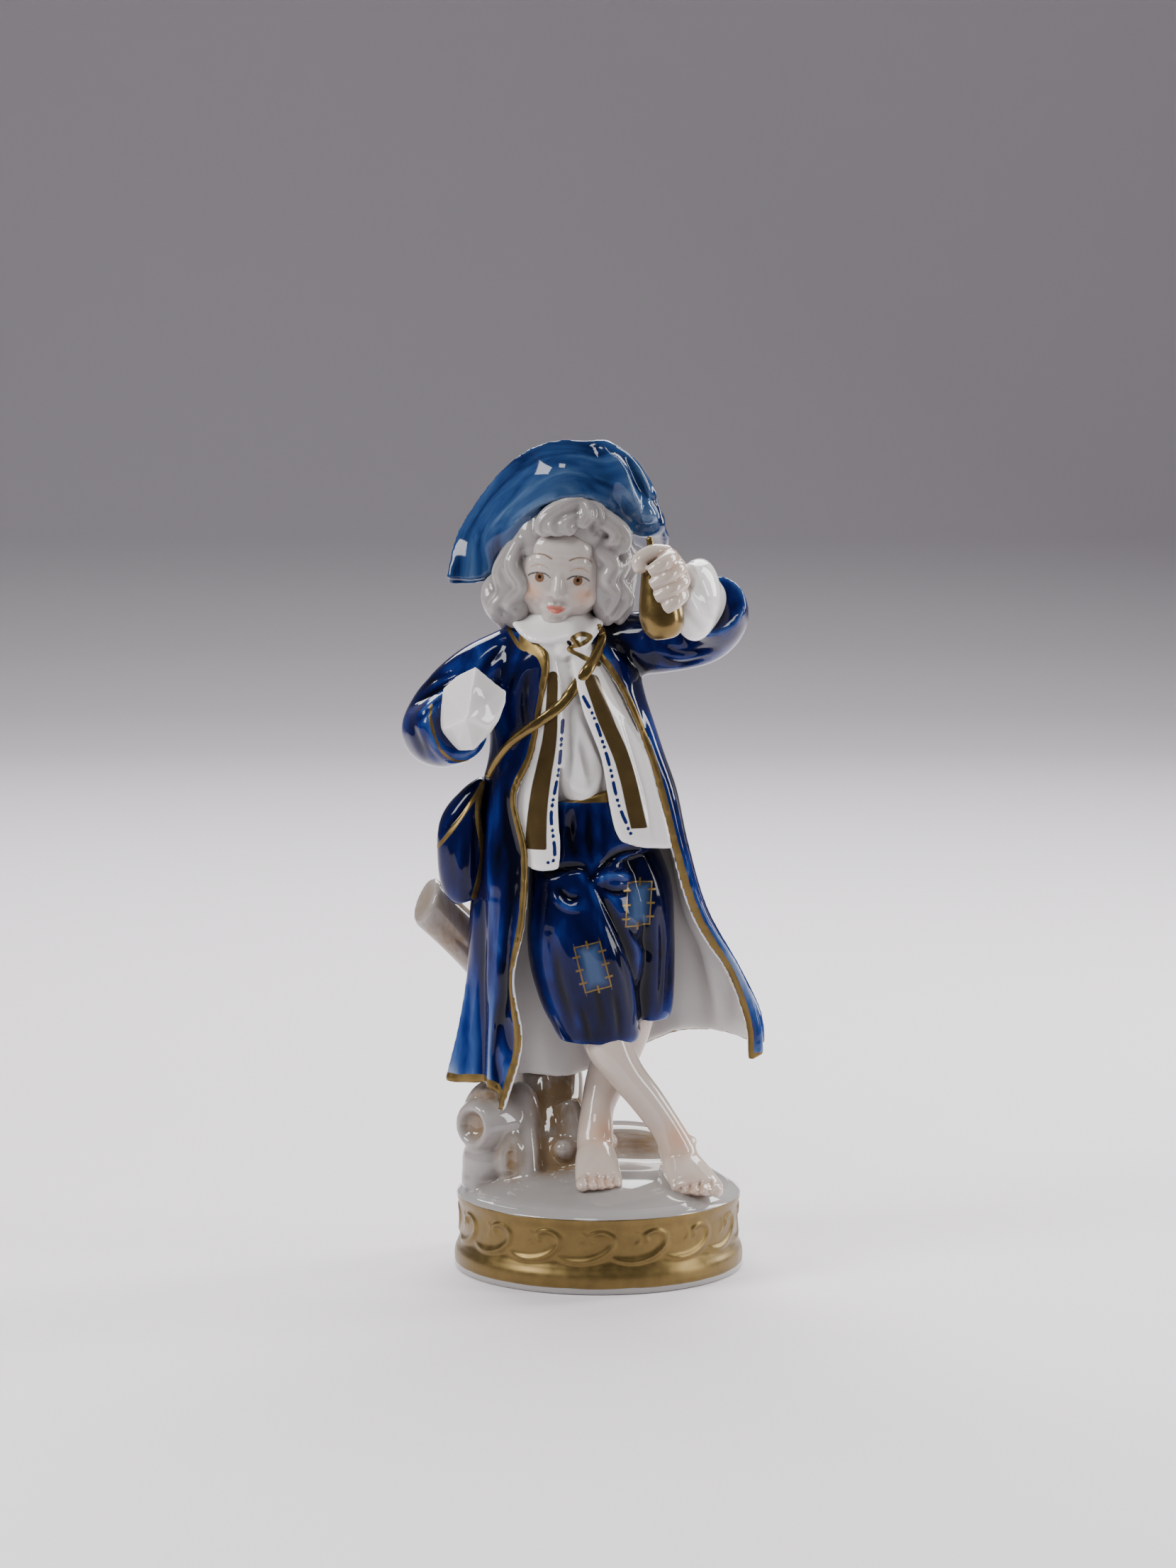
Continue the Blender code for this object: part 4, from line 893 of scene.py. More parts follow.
coat_sheet, coat_middle = sheet(COAT_COLUMNS, 260, 200, COAT_WALL, coat_folds)
shoulders = [
    (-17, 1, 112, 5.4, 5.6), (-12.5, 1, 115.2, 5, 5.6), (-7.4, 0.8, 116.6, 4.6, 5.2),
    (-2, 1, 116, 5, 5.6), (3, 1.2, 114, 5.6, 5.8),
]
right_sleeve = [
    (-15.5, 1, 112.4, 6.2, 6), (-22, 0.6, 109.4, 6, 5.8), (-27.2, -0.4, 104.6, 6.1, 6),
    (-29.6, -3, 100.4, 6.3, 6.3), (-28.4, -6.8, 100.2, 6.7, 6.7), (-26.2, -10.6, 101.8, 6.9, 6.9),
    (-25.4, -12, 102.4, 5.9, 5.9),
]
left_sleeve = [
    (1, 1.4, 113.6, 6.2, 6), (7, 1.2, 115.2, 5.9, 6), (13.5, 0.4, 115.8, 5.3, 5.6),
    (19, -1.8, 117.6, 5.4, 5.8), (21.2, -5.8, 120.8, 5.9, 6), (20.4, -9.6, 123.6, 6.2, 6.2),
]
forms = [coat_sheet, loft(shoulders), loft(right_sleeve, (0.2, 0.4, 1)), loft(left_sleeve, (0, 0.4, 1))]
coat = fuse("coat", forms, 0.5, 5)

# Which side of the cloth's middle a point is on: above 0 outside, below 0 on the lining. What is far
# from the cloth above the waist is a sleeve or a shoulder, all outside.
at = places(coat)
guide_points = coat_middle[::2, ::2].reshape(-1, 3)
guide_normals = normals_of(coat_middle)[::2, ::2].reshape(-1, 3)
guide = kdtree.KDTree(len(guide_points))
for i, point in enumerate(guide_points):
    guide.insert(point, i)
guide.balance()
found = [guide.find(point) for point in at]
nearest = np.array([index for place, index, gap in found])
gaps = np.array([gap for place, index, gap in found])
side = np.sum((at - guide_points[nearest]) * guide_normals[nearest], axis=1)
side[(gaps > COAT_WALL + 0.1) & (at[:, 2] > COAT_WAIST)] = 1
note(coat, "side", np.clip(side, -1, 1))

sleeve_creases = [
    ([(-26.5, 109.4), (-30, 107.2), (-33.4, 104.4)], 0.5, -0.5),
    ([(-26.8, 107.8), (-30.2, 105.6), (-33, 102.6)], 0.5, -0.45),
    ([(-26.4, 110.8), (-30.4, 109), (-32.6, 106.4)], 0.5, -0.35),
    ([(-34, 102.6), (-32.4, 98.6), (-31, 95.4)], 0.8, -0.4),
    ([(-31.8, 102.4), (-30.8, 98), (-28.6, 95.2)], 0.7, -0.35),
    ([(-17, 116), (-20, 112.4), (-21.6, 108.8)], 1, -0.6),
    ([(-15.6, 111.6), (-17, 106), (-15.8, 100.2)], 0.9, -0.5),
    ([(-12.8, 111), (-13.6, 106), (-13, 101)], 0.6, -0.35),
    ([(4, 117), (6.2, 112.8), (9, 110.2)], 0.8, -0.5),
    ([(10, 113.6), (14.8, 112), (19.6, 113.4)], 0.7, -0.5),
    ([(11, 115.6), (15.4, 114.2), (20.4, 115.6)], 0.7, -0.4),
    ([(6, 109.8), (8.2, 104), (9.4, 98.6)], 0.7, -0.4),
]
press(coat, sleeve_creases, behind=4)
skirt_folds = [
    ([(-17.6, 92), (-16.6, 84), (-15, 76)], 1.4, -0.5),
    ([(-15.4, 74), (-17, 62), (-17.4, 50), (-16.6, 40)], 1.1, -0.8),
    ([(-19.4, 70), (-20.4, 56), (-21.4, 42), (-21, 34)], 1.2, -0.7),
    ([(-17.6, 52), (-19, 42), (-18.4, 34)], 0.9, -0.9),
    ([(16.4, 62), (18.6, 54), (19.6, 46)], 1.2, -0.6),
    ([(21.4, 60), (23.8, 52), (24.4, 44)], 1.1, -0.5),
    ([(19.2, 57), (21.6, 50), (22.2, 43)], 1, 0.5),
]
press(coat, skirt_folds)
note_swell(coat, 30)
at = places(coat)
# The gilded edges: half their widths on the right front, the left front and the hem. The right one
# widens towards the collar, and the hem's on his right side.
RIGHT_TRIM = 1.15
LEFT_TRIM = 1.05
HEM_TRIM = 1.15
RIGHT_HEM_TRIM = 1.9
collar_share = np.clip((at[:, 2] - 111.5) / 3, 0, 1)
trims = [
    along_line(at, coat_middle[2::6, 0])[0] - RIGHT_TRIM - 1.2 * collar_share,
    along_line(at, coat_middle[8::6, -1])[0] - LEFT_TRIM,
    along_line(at, coat_middle[-1, ::6])[0] - np.where(at[:, 0] < -13, RIGHT_HEM_TRIM, HEM_TRIM),
]
trim = np.where(side > -0.4, np.min(trims, axis=0), UNPAINTED)
lapel_strokes = [
    ([(-17.7, 120.2), (-14.4, 115.7), (-12.2, 115.3)], 0.4),
    ([(-12.4, 115.2), (-10.6, 115), (-8.7, 116.2)], 0.7),
    ([(-10, 114.8), (-9.5, 112.8), (-9.8, 110.6), (-10.2, 108.6)], 0.7),
    ([(-30.2, 105.6), (-30.2, 102.7), (-28.6, 98.1), (-26.3, 95.8), (-23.6, 95.4)], 0.28),
]
drawn = stroke_gaps(coat, lapel_strokes, behind=0)
note(coat, "gold_line", np.minimum(trim, drawn).clip(-UNPAINTED, UNPAINTED))
# The blue runs thinner down the skirt, most of all on his right side.
note(coat, "thin", np.clip((70 - at[:, 2]) / 30, 0, 1) * (0.14 + 0.16 * (at[:, 0] < -14)))

# Cobalt wash under clear glaze: wet ink blue outside, milk white inside, parted by a thin gold edge
# that wavers as a brush does, every 2 mm or so.
BRIGHT_WHITE = srgb("#eeebe8")
lined_coat, tree, shader = new_material("cobalt_coat_with_white_lining")
glaze(shader, sheen=0.26)
# Painted shade: the white lining turns grey in its hollows.
hollow_shade = within(tree, kept(tree, "swell"), -0.12, soft=0.35)
lining = within(tree, kept(tree, "side"), -0.3, soft=0.12)
outside = add(tree, "Math", {0: 1, 1: lining}, operation="SUBTRACT")
gilding = within(tree, kept(tree, "gold_line"), 0, soft=0.05, wobble=0.14, length=2)
lay(tree, shader, BRIGHT_WHITE, [(srgb("#d6d1ce"), hollow_shade), (cobalt(tree), outside)], gilding)
finish(coat, lined_coat)


# The waistcoat and the shirt: two long white fronts with painted brown-gold stripes and dark blue
# stitching, and the shirt's full front and soft collar between them, all cast with the body.
right_front = [
    [(-11.4, -3.4, 116), (-12.6, -5.6, 106), (-14.4, -6.9, 95), (-15.6, -7.3, 87), (-14.4, -8.6, 80),
     (-13.6, -8.8, 76.4)],
    [(-10, -8.4, 116), (-10.4, -9.3, 105), (-10.8, -9.9, 95), (-11.4, -10.5, 87),
     (-11, -11.2, 80), (-10.8, -11.4, 75.2)],
    [(-8.2, -9, 116), (-6.6, -10.4, 105), (-7, -11, 95), (-7.4, -11.2, 87), (-7, -11.8, 80),
     (-7.2, -12, 75.6)],
]
left_front = [
    [(-5.6, -8.8, 116), (-3, -10.6, 105), (0.4, -10.6, 96), (1.6, -10.4, 89), (2.8, -10.2, 83),
     (4, -10.2, 80.4)],
    [(-3.4, -8.4, 116), (0.6, -9.8, 105), (3.6, -9.8, 96), (5.4, -9.6, 89), (7, -9.6, 83),
     (7.8, -9.6, 79.2)],
    [(-1, -4.6, 116), (4.8, -6.8, 104), (8.8, -7.2, 96), (10.8, -7, 89), (12.4, -7, 83),
     (13.2, -6.8, 78.6)],
]
shirt = [
    (-7.2, -4, 118, 2.6, 4), (-7, -4.8, 113, 3, 4.6), (-6, -5, 102, 4, 5), (-4, -5.2, 93, 4.6, 5.4),
    (-2.8, -5, 88.6, 3.9, 4.8), (-2.8, -4.8, 87.8, 3.2, 4.2),
]
torso = [
    (0, 0.5, 76, 10.4, 6.6), (-0.4, 0.4, 80, 12.2, 7.4), (-2.2, 0.2, 88, 13, 7.8),
    (-3.6, 0.2, 96, 13.2, 8.2), (-5.4, 0.2, 105, 12, 8.2), (-6.6, 0.4, 112, 10, 7.2),
    (-7.5, 0, 118, 6.2, 5.4), (-7.4, -0.5, 124, 4.8, 4.8),
]
collar_edge = [
    (-16.1, -3.5, 120.8), (-15.2, -6.4, 119), (-12.9, -8.8, 117), (-10.6, -10, 116.6), (-8.4, -10.4, 116.7),
    (-6.6, -10.5, 117.2), (-4.9, -10.4, 117.4), (-3.3, -9.9, 115.2), (-1.2, -8.6, 117), (0.9, -5.6, 120),
]
NECK_X = -7.4
COLLAR_OPEN = 78
collar = []
for step, edge in enumerate(collar_edge):
    turn = math.radians(COLLAR_OPEN * (2 * step / (len(collar_edge) - 1) - 1))
    inner = (NECK_X + 4.6 * math.sin(turn), -0.4 - 4.6 * math.cos(turn), 122.4)
    rolled = (NECK_X + 6.2 * math.sin(turn), -0.8 - 6.2 * math.cos(turn), 120.6)
    collar.append([inner, rolled, edge])
forms = [sheet(columns, 60, 150, 1.5)[0] for columns in (right_front, left_front)]
forms += [sheet(collar, 90, 30, 1.3)[0], orb((-6.6, -9.6, 115.4), (1.4, 1.2, 1.5)), loft(shirt), loft(torso)]
waistcoat = fuse("waistcoat_and_shirt", forms, 0.37, 4)
drapes = [
    ([(-4.6, 107), (-4.9, 99), (-5.4, 91.4)], 0.8, -1.3),
    ([(-3.9, 103), (-1.4, 97), (0, 93.4), (-0.6, 90.4), (-2.6, 89.2)], 0.6, 0.7),
    ([(-3.2, 99), (-2.2, 95), (-1.6, 91.6)], 0.7, -1),
    ([(-5.9, 92), (-4, 90), (-2, 89.6)], 0.6, 0.4),
    ([(4.2, 103), (6.4, 96), (8.6, 88), (9.8, 80.6)], 0.5, -0.3),
    ([(6.8, 103), (9, 95), (11.2, 87)], 0.5, 0.25),
]
press(waistcoat, drapes)
note_swell(waistcoat, 30)


def stitches(line, half):
    """Brush strokes in the rhythm of one long dash and two dots, along a line."""
    line = through(line, 40 * len(line))
    walked = np.concatenate([[0], np.cumsum(np.linalg.norm(np.diff(line, axis=0), axis=1))])
    strokes, start = [], 0.0
    for length, space in [(2.2, 1.1), (0.1, 0.95), (0.1, 1.1)] * 20:
        if start + length > walked[-1]:
            break
        spans = np.linspace(start, start + length, 4)
        strokes.append((np.column_stack([np.interp(spans, walked, line[:, k]) for k in (0, 1)]), half))
        start += length + space
    return strokes


stripes = [
    ([(-8.3, 110.6), (-8.8, 100), (-10.4, 91), (-11.2, 84.7), (-11.5, 76)], (0.9, 2.1)),
    ([(-1.2, 109.6), (1.3, 102.6), (4.4, 95), (6.6, 86), (8, 80)], (1.3, 1.5)),
]
right_hem = [
    (-6.5, 102.6), (-7.2, 94), (-8.3, 88), (-8.6, 84.7), (-8, 79.5), (-8.3, 77.2), (-10.4, 77),
    (-10.6, 77.8),
]
left_hem = [(-2.8, 107), (-0.6, 102.6), (1.8, 95), (3.4, 88), (5, 83.8), (6, 81.8), (8.4, 81.6)]
dashes = stitches(right_hem, 0.33) + stitches(left_hem, 0.33)
bow = [
    ([(-3.4, 116.4), (-4.8, 117.4), (-3.3, 118.1), (-1.5, 117.6), (-2.6, 116.6), (-5.4, 115.6),
      (-3.3, 114.3), (0, 112.5)], 0.4),
]
at = places(waistcoat)
stripe_end = np.where(at[:, 0] < -5, 79.2, 82.8)
note(waistcoat, "brown_line", np.maximum(stroke_gaps(waistcoat, stripes, behind=-4), stripe_end - at[:, 2]))
note(waistcoat, "blue_line", stroke_gaps(waistcoat, dashes, behind=-4))
note(waistcoat, "gold_line", stroke_gaps(waistcoat, bow, behind=-4))

# Bright glazed white with brushed brown stripes that have a little gold in them, and fine blue
# stitches, each with the unsteady edge of its own brush.
STRIPE_GOLD = 0.35
striped_white, tree, shader = new_material("white_porcelain_with_painted_stripes")
glaze(shader)
# Painted shade: the white turns grey in the hollows.
hollow_shade = within(tree, kept(tree, "swell"), -0.12, soft=0.3)
stripe = within(tree, kept(tree, "brown_line"), 0, soft=0.08, wobble=0.1, length=5)
stitching = within(tree, kept(tree, "blue_line"), 0, soft=0.05, wobble=0.07, length=1.11)
gilding = within(tree, kept(tree, "gold_line"), 0, soft=0.05, wobble=0.1, length=2)
paints = [(srgb("#c3bdbb"), hollow_shade), (srgb("#0c1c58"), stitching), (srgb("#291b0b"), stripe)]
lay(tree, shader, BRIGHT_WHITE, paints, either(tree, gilding, times(tree, stripe, STRIPE_GOLD)))
finish(waistcoat, striped_white)


# The bag at his right hip: a small full bag of porcelain, luted to the coat, with its flap and seam
# drawn with gilding over the cobalt.
bag_form = [
    (-20.8, -4.6, 91, 1, 1.4), (-22.8, -3.8, 87.4, 2.8, 3.2), (-24.6, -3.2, 82.4, 4.5, 4.4),
    (-25, -3, 76, 4.5, 4.6), (-24.6, -3, 71, 4, 4), (-23.8, -3.2, 68.4, 2.4, 2.6),
]
bag = fuse("bag", [loft(bag_form)], 0.3, 4)
bag_folds = [
    ([(-23.2, 88), (-25.6, 84.6), (-28.6, 81.2)], 0.5, -0.45),
    ([(-22.6, 86), (-22.4, 78), (-22.6, 72)], 0.6, -0.4),
    ([(-25, 82), (-25.4, 77), (-25, 72)], 0.9, 0.4),
]
press(bag, bag_folds)
note_swell(bag, 30)
bag_lines = [
    ([(-21, 90.6), (-24.4, 85.2), (-29.4, 78.6)], 0.36),
    ([(-21.2, 90.3), (-22, 86.1), (-21.9, 83.3), (-21.3, 79.8), (-21.2, 76.3), (-21.9, 72.7),
      (-22.8, 69.4)], 0.5),
]
note(bag, "gold_line", stroke_gaps(bag, bag_lines))

# The same cobalt and glaze as the coat's: dark, wet and deep, with thin gold lines.
blue_bag, tree, shader = new_material("cobalt_bag_with_gilded_seams")
glaze(shader, sheen=0.26)
gilding = within(tree, kept(tree, "gold_line"), 0, soft=0.05, wobble=0.1, length=2)
lay(tree, shader, cobalt(tree), [], gilding)
finish(bag, blue_bag)


# The strap: a flat ribbon of porcelain over his left shoulder and across his chest to the bag, laid
# on while leather-hard and gilded all over.
STRAP_POINTS = 40
CLEAR_FRONT = -60
NOT_HIT = 20


def resting(line, pieces, lift):
    """A line of x and z laid on the front of the pieces, raised by so much, as x, y and z."""
    found = []
    for x, z in line:
        casts = [piece.ray_cast(Vector((x, CLEAR_FRONT, z)) * MM, Vector((0, 1, 0))) for piece in pieces]
        fronts = [cast[1].y / MM for cast in casts if cast[0]]
        found.append((x, min(fronts, default=NOT_HIT) - lift, z))
    return found


strap_line = [
    (-0.6, 119.6), (0.7, 117.6), (-0.4, 114.3), (-2.5, 111.1), (-6.2, 106), (-9.9, 103),
    (-12.2, 101.4), (-15.8, 98.6), (-18.1, 95.4), (-20.9, 90.3),
]
strap_path = resting(through(strap_line, STRAP_POINTS), (coat, waistcoat, bag), 0.3)
strap_path = smoothed(np.array(strap_path), np.array([(i, i + 1) for i in range(STRAP_POINTS - 1)]), 3)
widths = np.interp(range(STRAP_POINTS), (0, 12, 24, STRAP_POINTS - 1), (0.8, 1.1, 1, 0.7))
strap = fuse("strap", [loft([(*p, w, 0.6) for p, w in zip(strap_path, widths)], rings=3)], 0.22, 3)

# Gold burnished to a soft mirror, more than on the band, since hands don't rub it.
burnished, tree, shader = new_material("burnished_gilding")
glaze(shader)
lay(tree, shader, BRIGHT_WHITE, [], 1.0, burnish=(0.16, 0.3))
finish(strap, burnished)


# The squared block at the end of the right sleeve: a white angular stump of porcelain with softened
# edges, glazed and left plain.
corners = [
    (-22.1, -16.6, 113.2), (-16.5, -15.6, 108.6), (-16.6, -15.8, 106.6), (-17.8, -16.2, 103.5),
    (-19.4, -16.6, 101.2), (-22.6, -15.6, 97.8), (-25.8, -13.4, 97.4), (-28.1, -13, 100),
    (-28.7, -13.2, 101.9), (-28.5, -13, 105), (-28.1, -12.6, 108.7), (-25.6, -14, 111.2),
    (-23.6, -21.6, 104.4), (-28, -15.4, 101.7), (-19.8, -18.2, 102),
    (-19, -11, 106), (-21, -9.5, 98.6), (-27, -8.5, 99), (-24, -9, 108),
]
hull = bmesh.new()
for corner in corners:
    hull.verts.new(corner)
bmesh.ops.convex_hull(hull, input=hull.verts)
hull.verts.index_update()
form = [v.co.copy() for v in hull.verts], [tuple(v.index for v in f.verts) for f in hull.faces]
hull.free()
block = fuse("sleeve_block", [form], 0.22, 5)
at = places(block)
dent = 0.7 * spot(at, (-19.9, -17.6, 107.4), (2.4, 3, 2.8))
put(block, at - facings(block) * dent[:, None])
note_swell(block, 40)

# Glazed white with no colour of its own painted on it: bright and wet, with painted shade, a faint grey, in
# the hollows.
plain_white, tree, shader = new_material("plain_white_porcelain")
glaze(shader)
hollow_shade = within(tree, kept(tree, "swell"), -0.12, soft=0.3)
lay(tree, shader, BRIGHT_WHITE, [(srgb("#b5aeab"), hollow_shade)])
finish(block, plain_white)


# The left cuff: the full gathered shirt cuff between the coat sleeve and the hand, cast with the arm
# and left white.
cuff_form = [
    (19.2, -7.4, 122.8, 4.6, 5.4), (17.9, -10.6, 124, 4.3, 6.8), (17.5, -13.8, 125, 4.2, 7.6),
    (16.2, -16.4, 126.4, 3.7, 6.6), (14.8, -18.2, 127.8, 2.8, 4.6),
]
cuff = fuse("left_cuff", [loft(cuff_form, (0.1, 0.3, 1))], 0.3, 4)
cuff_folds = [
    ([(12.6, 132), (16, 128.6), (19.6, 122.6)], 0.8, -0.5),
    ([(14.6, 131.6), (18, 127.6), (21, 121.6)], 0.8, -0.4),
    ([(13, 126), (16, 122.6), (18.6, 119.6)], 0.8, -0.45),
]
press(cuff, cuff_folds)
note_swell(cuff, 40)
finish(cuff, plain_white)


# The pear with its stalk: a turned form of porcelain, luted into the hand and gilded all over.
pear_line = [
    (0.4, -8.6), (2.3, -8.35), (3.6, -6.8), (4.05, -4.6), (3.85, -2.4), (3.3, 0), (2.7, 2.6), (2.1, 5),
    (1.5, 6.8), (0.9, 7.8), (0.7, 8.6), (0.6, 9.7), (0.3, 10),
]
pear = fuse("pear", [lathe((10.5, -21.4, 127.2), (-0.16, 0, 1), through(pear_line, 60), 64)], 0.24, 4)
finish(pear, burnished)


# The left hand: closed round the pear's neck, cast in one with its fingers, under the same flesh
# tint as the legs, and warmer at the knuckles.
forms = [orb((13, -19.8, 129.8), (3, 2.8, 4.8), (0, -12, 0))]
forms += [loft([
    (12.4, -20, 134, 1.4, 1.4), (9.6, -22, 134.2, 1.5, 1.6), (7.2, -23.4, 132.8, 1.5, 1.6),
    (7.6, -24.2, 131, 1.2, 1.3),
])]
FINGERS = [
    ((12.9, 133.4), (8.9, 131)), ((14.4, 131.5), (9.2, 128.6)), ((15.1, 129.1), (10, 126.4)),
    ((14.8, 126.7), (11.6, 124.4)),
]
for (x, z), (tip_x, tip_z) in FINGERS:
    finger = []
    for share, y, radius in ((0, -19.6, 1.35), (0.1, -22.6, 1.45), (0.5, -25, 1.4), (1, -24.8, 1.1)):
        finger.append((x + (tip_x - x) * share, y, z + (tip_z - z) * share, radius, radius))
    forms.append(loft(finger, UP, 20))
hand = fuse("left_hand", forms, 0.2, 4)
note_swell(hand, 60)
note(hand, "flush", 0.35 * spot(places(hand), (13.6, -23, 131), (2, 3, 4)))
finish(hand, flesh)


# The head: a calm child's face of even proportions, bowed and tipped to his left, with painted
# brows, lids, eyes, cheeks and lips. It is shaped upright, then tipped and set on the neck.
HEAD_AT = np.array((-7.1, -0.4, 129.5))
HEAD_SCALE = 1.1
HEAD_TIP = np.array(Matrix.Rotation(math.radians(5.5), 3, "Y") @ Matrix.Rotation(math.radians(6), 3, "X"))

# The skull, the face, the forehead, the chin, the mouth, the brow and the nose.
forms = [
    orb((0, 2, 3.2), (9, 9.4, 9.4)), orb((0, -2.2, -0.8), (7.9, 6.7, 8.5)),
    orb((0, -5.2, 4.2), (5.4, 3.4, 3.4)), orb((0, -6.4, -7), (2.3, 2, 1.8)),
    orb((0, -6.9, -5.1), (2.7, 1.7, 2.1)), orb((0, -6.6, 2.5), (4.8, 2, 1.2)),
    loft([
        (0, -7.4, 2, 0.9, 0.9), (0, -8.4, -0.4, 0.8, 0.9),
        (0, -9.3, -2.5, 0.95, 0.95), (0, -9, -3.3, 0.9, 0.7),
    ]),
]
# The cheek, the nostril, the eyeball and half the upper lip on each side, then the lower lip.
for side in (-1, 1):
    forms += [
        orb((3.9 * side, -5, -3), (2.9, 2.6, 2.9)), orb((0.85 * side, -8.3, -2.95), (0.75, 0.9, 0.65)),
        orb((3.4 * side, -6.4, 0.1), (1.75, 1.4, 1.2)),
        loft([(0.1 * side, -8.5, -4.95, 0.4, 0.4), (0.8 * side, -8.4, -4.85, 0.42, 0.42),
              (1.8 * side, -7.7, -5.2, 0.25, 0.25)]),
    ]
forms += [loft([(-1.4, -7.9, -5.6, 0.3, 0.3), (0, -8.5, -5.95, 0.6, 0.55), (1.4, -7.9, -5.6, 0.3, 0.3)])]
head = fuse("head", forms, 0.22, 5)
marks = [
    ([(-1.9, -7.6, -5.25), (-0.7, -8.6, -5.3), (0, -8.8, -5.35), (0.7, -8.6, -5.3), (1.9, -7.6, -5.25)],
     0.22, -0.3),
    ([(-0.9, -8.2, -6.75), (0.9, -8.2, -6.75)], 0.5, -0.25),
    ([(0, -8.8, -3.9), (0, -8.6, -4.6)], 0.3, -0.2),
]
for side in (-1, 1):
    marks += [
        ([(1.6 * side, -7.6, 0.3), (2.4 * side, -7.6, 1.25), (3.6 * side, -7.4, 1.35),
          (4.9 * side, -6.2, 0.6)], 0.32, -0.35),
        ([(1.5 * side, -7.6, 0), (2.4 * side, -7.8, 0.5), (3.6 * side, -7.6, 0.5),
          (4.8 * side, -6.4, -0.1)], 0.25, 0.2),
        ([(1.7 * side, -7.4, -0.5), (3.0 * side, -7.6, -1), (4.5 * side, -6.4, -0.6)], 0.3, -0.22),
        ([(0.5 * side, -9, -3.6), (0.9 * side, -8.8, -3.5)], 0.25, -0.35),
    ]
press(head, marks)
note_swell(head, 60)
at = places(head)
in_front = facings(head)[:, 1] < 0
face = at[:, (0, 2)]


def face_strokes(strokes, mirrored=True):
    """The least distance to strokes on the upright face, drawn on one side and mirrored."""
    best = np.full(len(face), UNPAINTED)
    for line, half in strokes:
        for side in (-1, 1) if mirrored else (1,):
            gap, walked = along_line(face * (side, 1), through(line, 4 * len(line)))
            reach = np.interp(walked, (0, walked.max()), half) if isinstance(half, tuple) else half
            best = np.minimum(best, gap - reach)
    return np.where(in_front, best, UNPAINTED)


# The lines drawn on both sides of the face: x and z, and half the width.
DRAWN = {
    "brow_line": ([(1.5, 2.9), (2.7, 3.4), (4.1, 3.3), (5.2, 2.6)], (0.17, 0.07)),
    "lid_line": ([(1.4, -0.2), (2.2, 0.3), (3.4, 0.4), (4.5, 0), (5, -0.4)], 0.14),
    "low_lid": ([(1.7, -0.6), (2.8, -1.1), (4, -1), (4.8, -0.5)], 0.05),
    "fold_line": ([(1.7, 1.15), (2.6, 1.6), (3.8, 1.6), (4.8, 1)], 0.09),
    "pupil": ([(3.15, -0.25), (3.15, -0.3)], 0.3),
}
for name, stroke in DRAWN.items():
    note(head, name, face_strokes([stroke]))
LID_HEIGHT = 0.3
iris = face_strokes([([(3.15, -0.35), (3.15, -0.4)], 0.78)])
note(head, "iris", np.maximum(iris, at[:, 2] - LID_HEIGHT))
lips = [
    ([(-1.35, -5.25), (-0.6, -5), (0, -5.12), (0.6, -5), (1.35, -5.25)], 0.26),
    ([(-0.9, -5.5), (0, -5.75), (0.9, -5.5)], 0.36),
]
note(head, "lips", face_strokes(lips, False))
flush = spot(face, (4.3, -3), (1.7, 1.6)) + spot(face, (-4.3, -3), (1.7, 1.6))
note(head, "flush", 1.1 * flush * in_front)
put(head, at * HEAD_SCALE @ HEAD_TIP.T + HEAD_AT)

# Pale biscuit white under clear glaze, with cheeks wiped on thin and features drawn over the glaze
# with a hair-fine brush: the lines are crisp, and waver by a few hundredths of a millimetre.
painted_face, tree, shader = new_material("painted_face_on_porcelain")
glaze(shader)
# Painted shade: the face's white is a greyer tone, for the shade under the hat brim, and darker in the
# creases.
crease_shade = times(tree, within(tree, kept(tree, "swell"), -0.05, soft=0.15), 0.35)
warm = add(tree, "MapRange", {"Value": kept(tree, "flush"), "From Max": 0.9, "To Max": 0.55})
paints = [(srgb("#a3958e"), crease_shade), (srgb("#c98f66"), warm)]
for name, code, wobble, strength in (
    ("fold_line", "#a8754c", 0.03, 0.7), ("brow_line", "#6f5233", 0.06, 0.8), ("iris", "#6a4320", 0.02, 0.9),
    ("pupil", "#1c120c", 0, 1), ("low_lid", "#7a604c", 0.03, 0.6), ("lid_line", "#2c2622", 0.03, 0.9),
    ("lips", "#c45a3e", 0.06, 0.8),
):
    line = within(tree, kept(tree, name), 0, soft=0.07, wobble=wobble, length=0.833)
    paints.append((srgb(code), times(tree, line, strength)))
# The greyer ground white is painted shade under the hat brim.
lay(tree, shader, srgb("#bbb2ac"), paints)
finish(head, painted_face)


# The hair: loose waved locks under the hat, modelled on the head and combed with fine grooves while
# leather-hard, then glazed a pale grey.
HAIR_AXIS = Vector((-6.9, 0.5, 0))
LOCK_WAVES = 0.75
COMB_MARKS = (-0.5, 0.35)


def lock(points, width, phase):
    """A waved lock that narrows to its end, with the lines of its comb marks."""
    line = through(points, 10 * (len(points) - 1) + 1)
    stations, combed = [], [[] for _ in COMB_MARKS]
    for i, (x, y, z) in enumerate(line):
        share = i / (len(line) - 1)
        size = width * (0.75 + 0.25 * math.sin(math.pi * share)) * (1 - 0.55 * share**4)
        out = Vector((x - HAIR_AXIS.x, y - HAIR_AXIS.y, 0)).normalized()
        side = Vector((-out.y, out.x, 0))
        turn = 2 * math.pi * LOCK_WAVES * share + phase
        bend = math.sin(math.pi * min(1, share + 0.2)) * width
        sway = side * (0.5 * bend * math.sin(turn)) + out * (0.3 * bend * math.cos(turn))
        centre = Vector((x, y, z)) + sway
        stations.append((*centre, size, size))
        for mark, part in zip(combed, COMB_MARKS):
            mark.append(tuple(centre + side * (part * size) + out * (size * math.sqrt(1 - part**2))))
    return loft(stations, sides=16, rings=2), combed


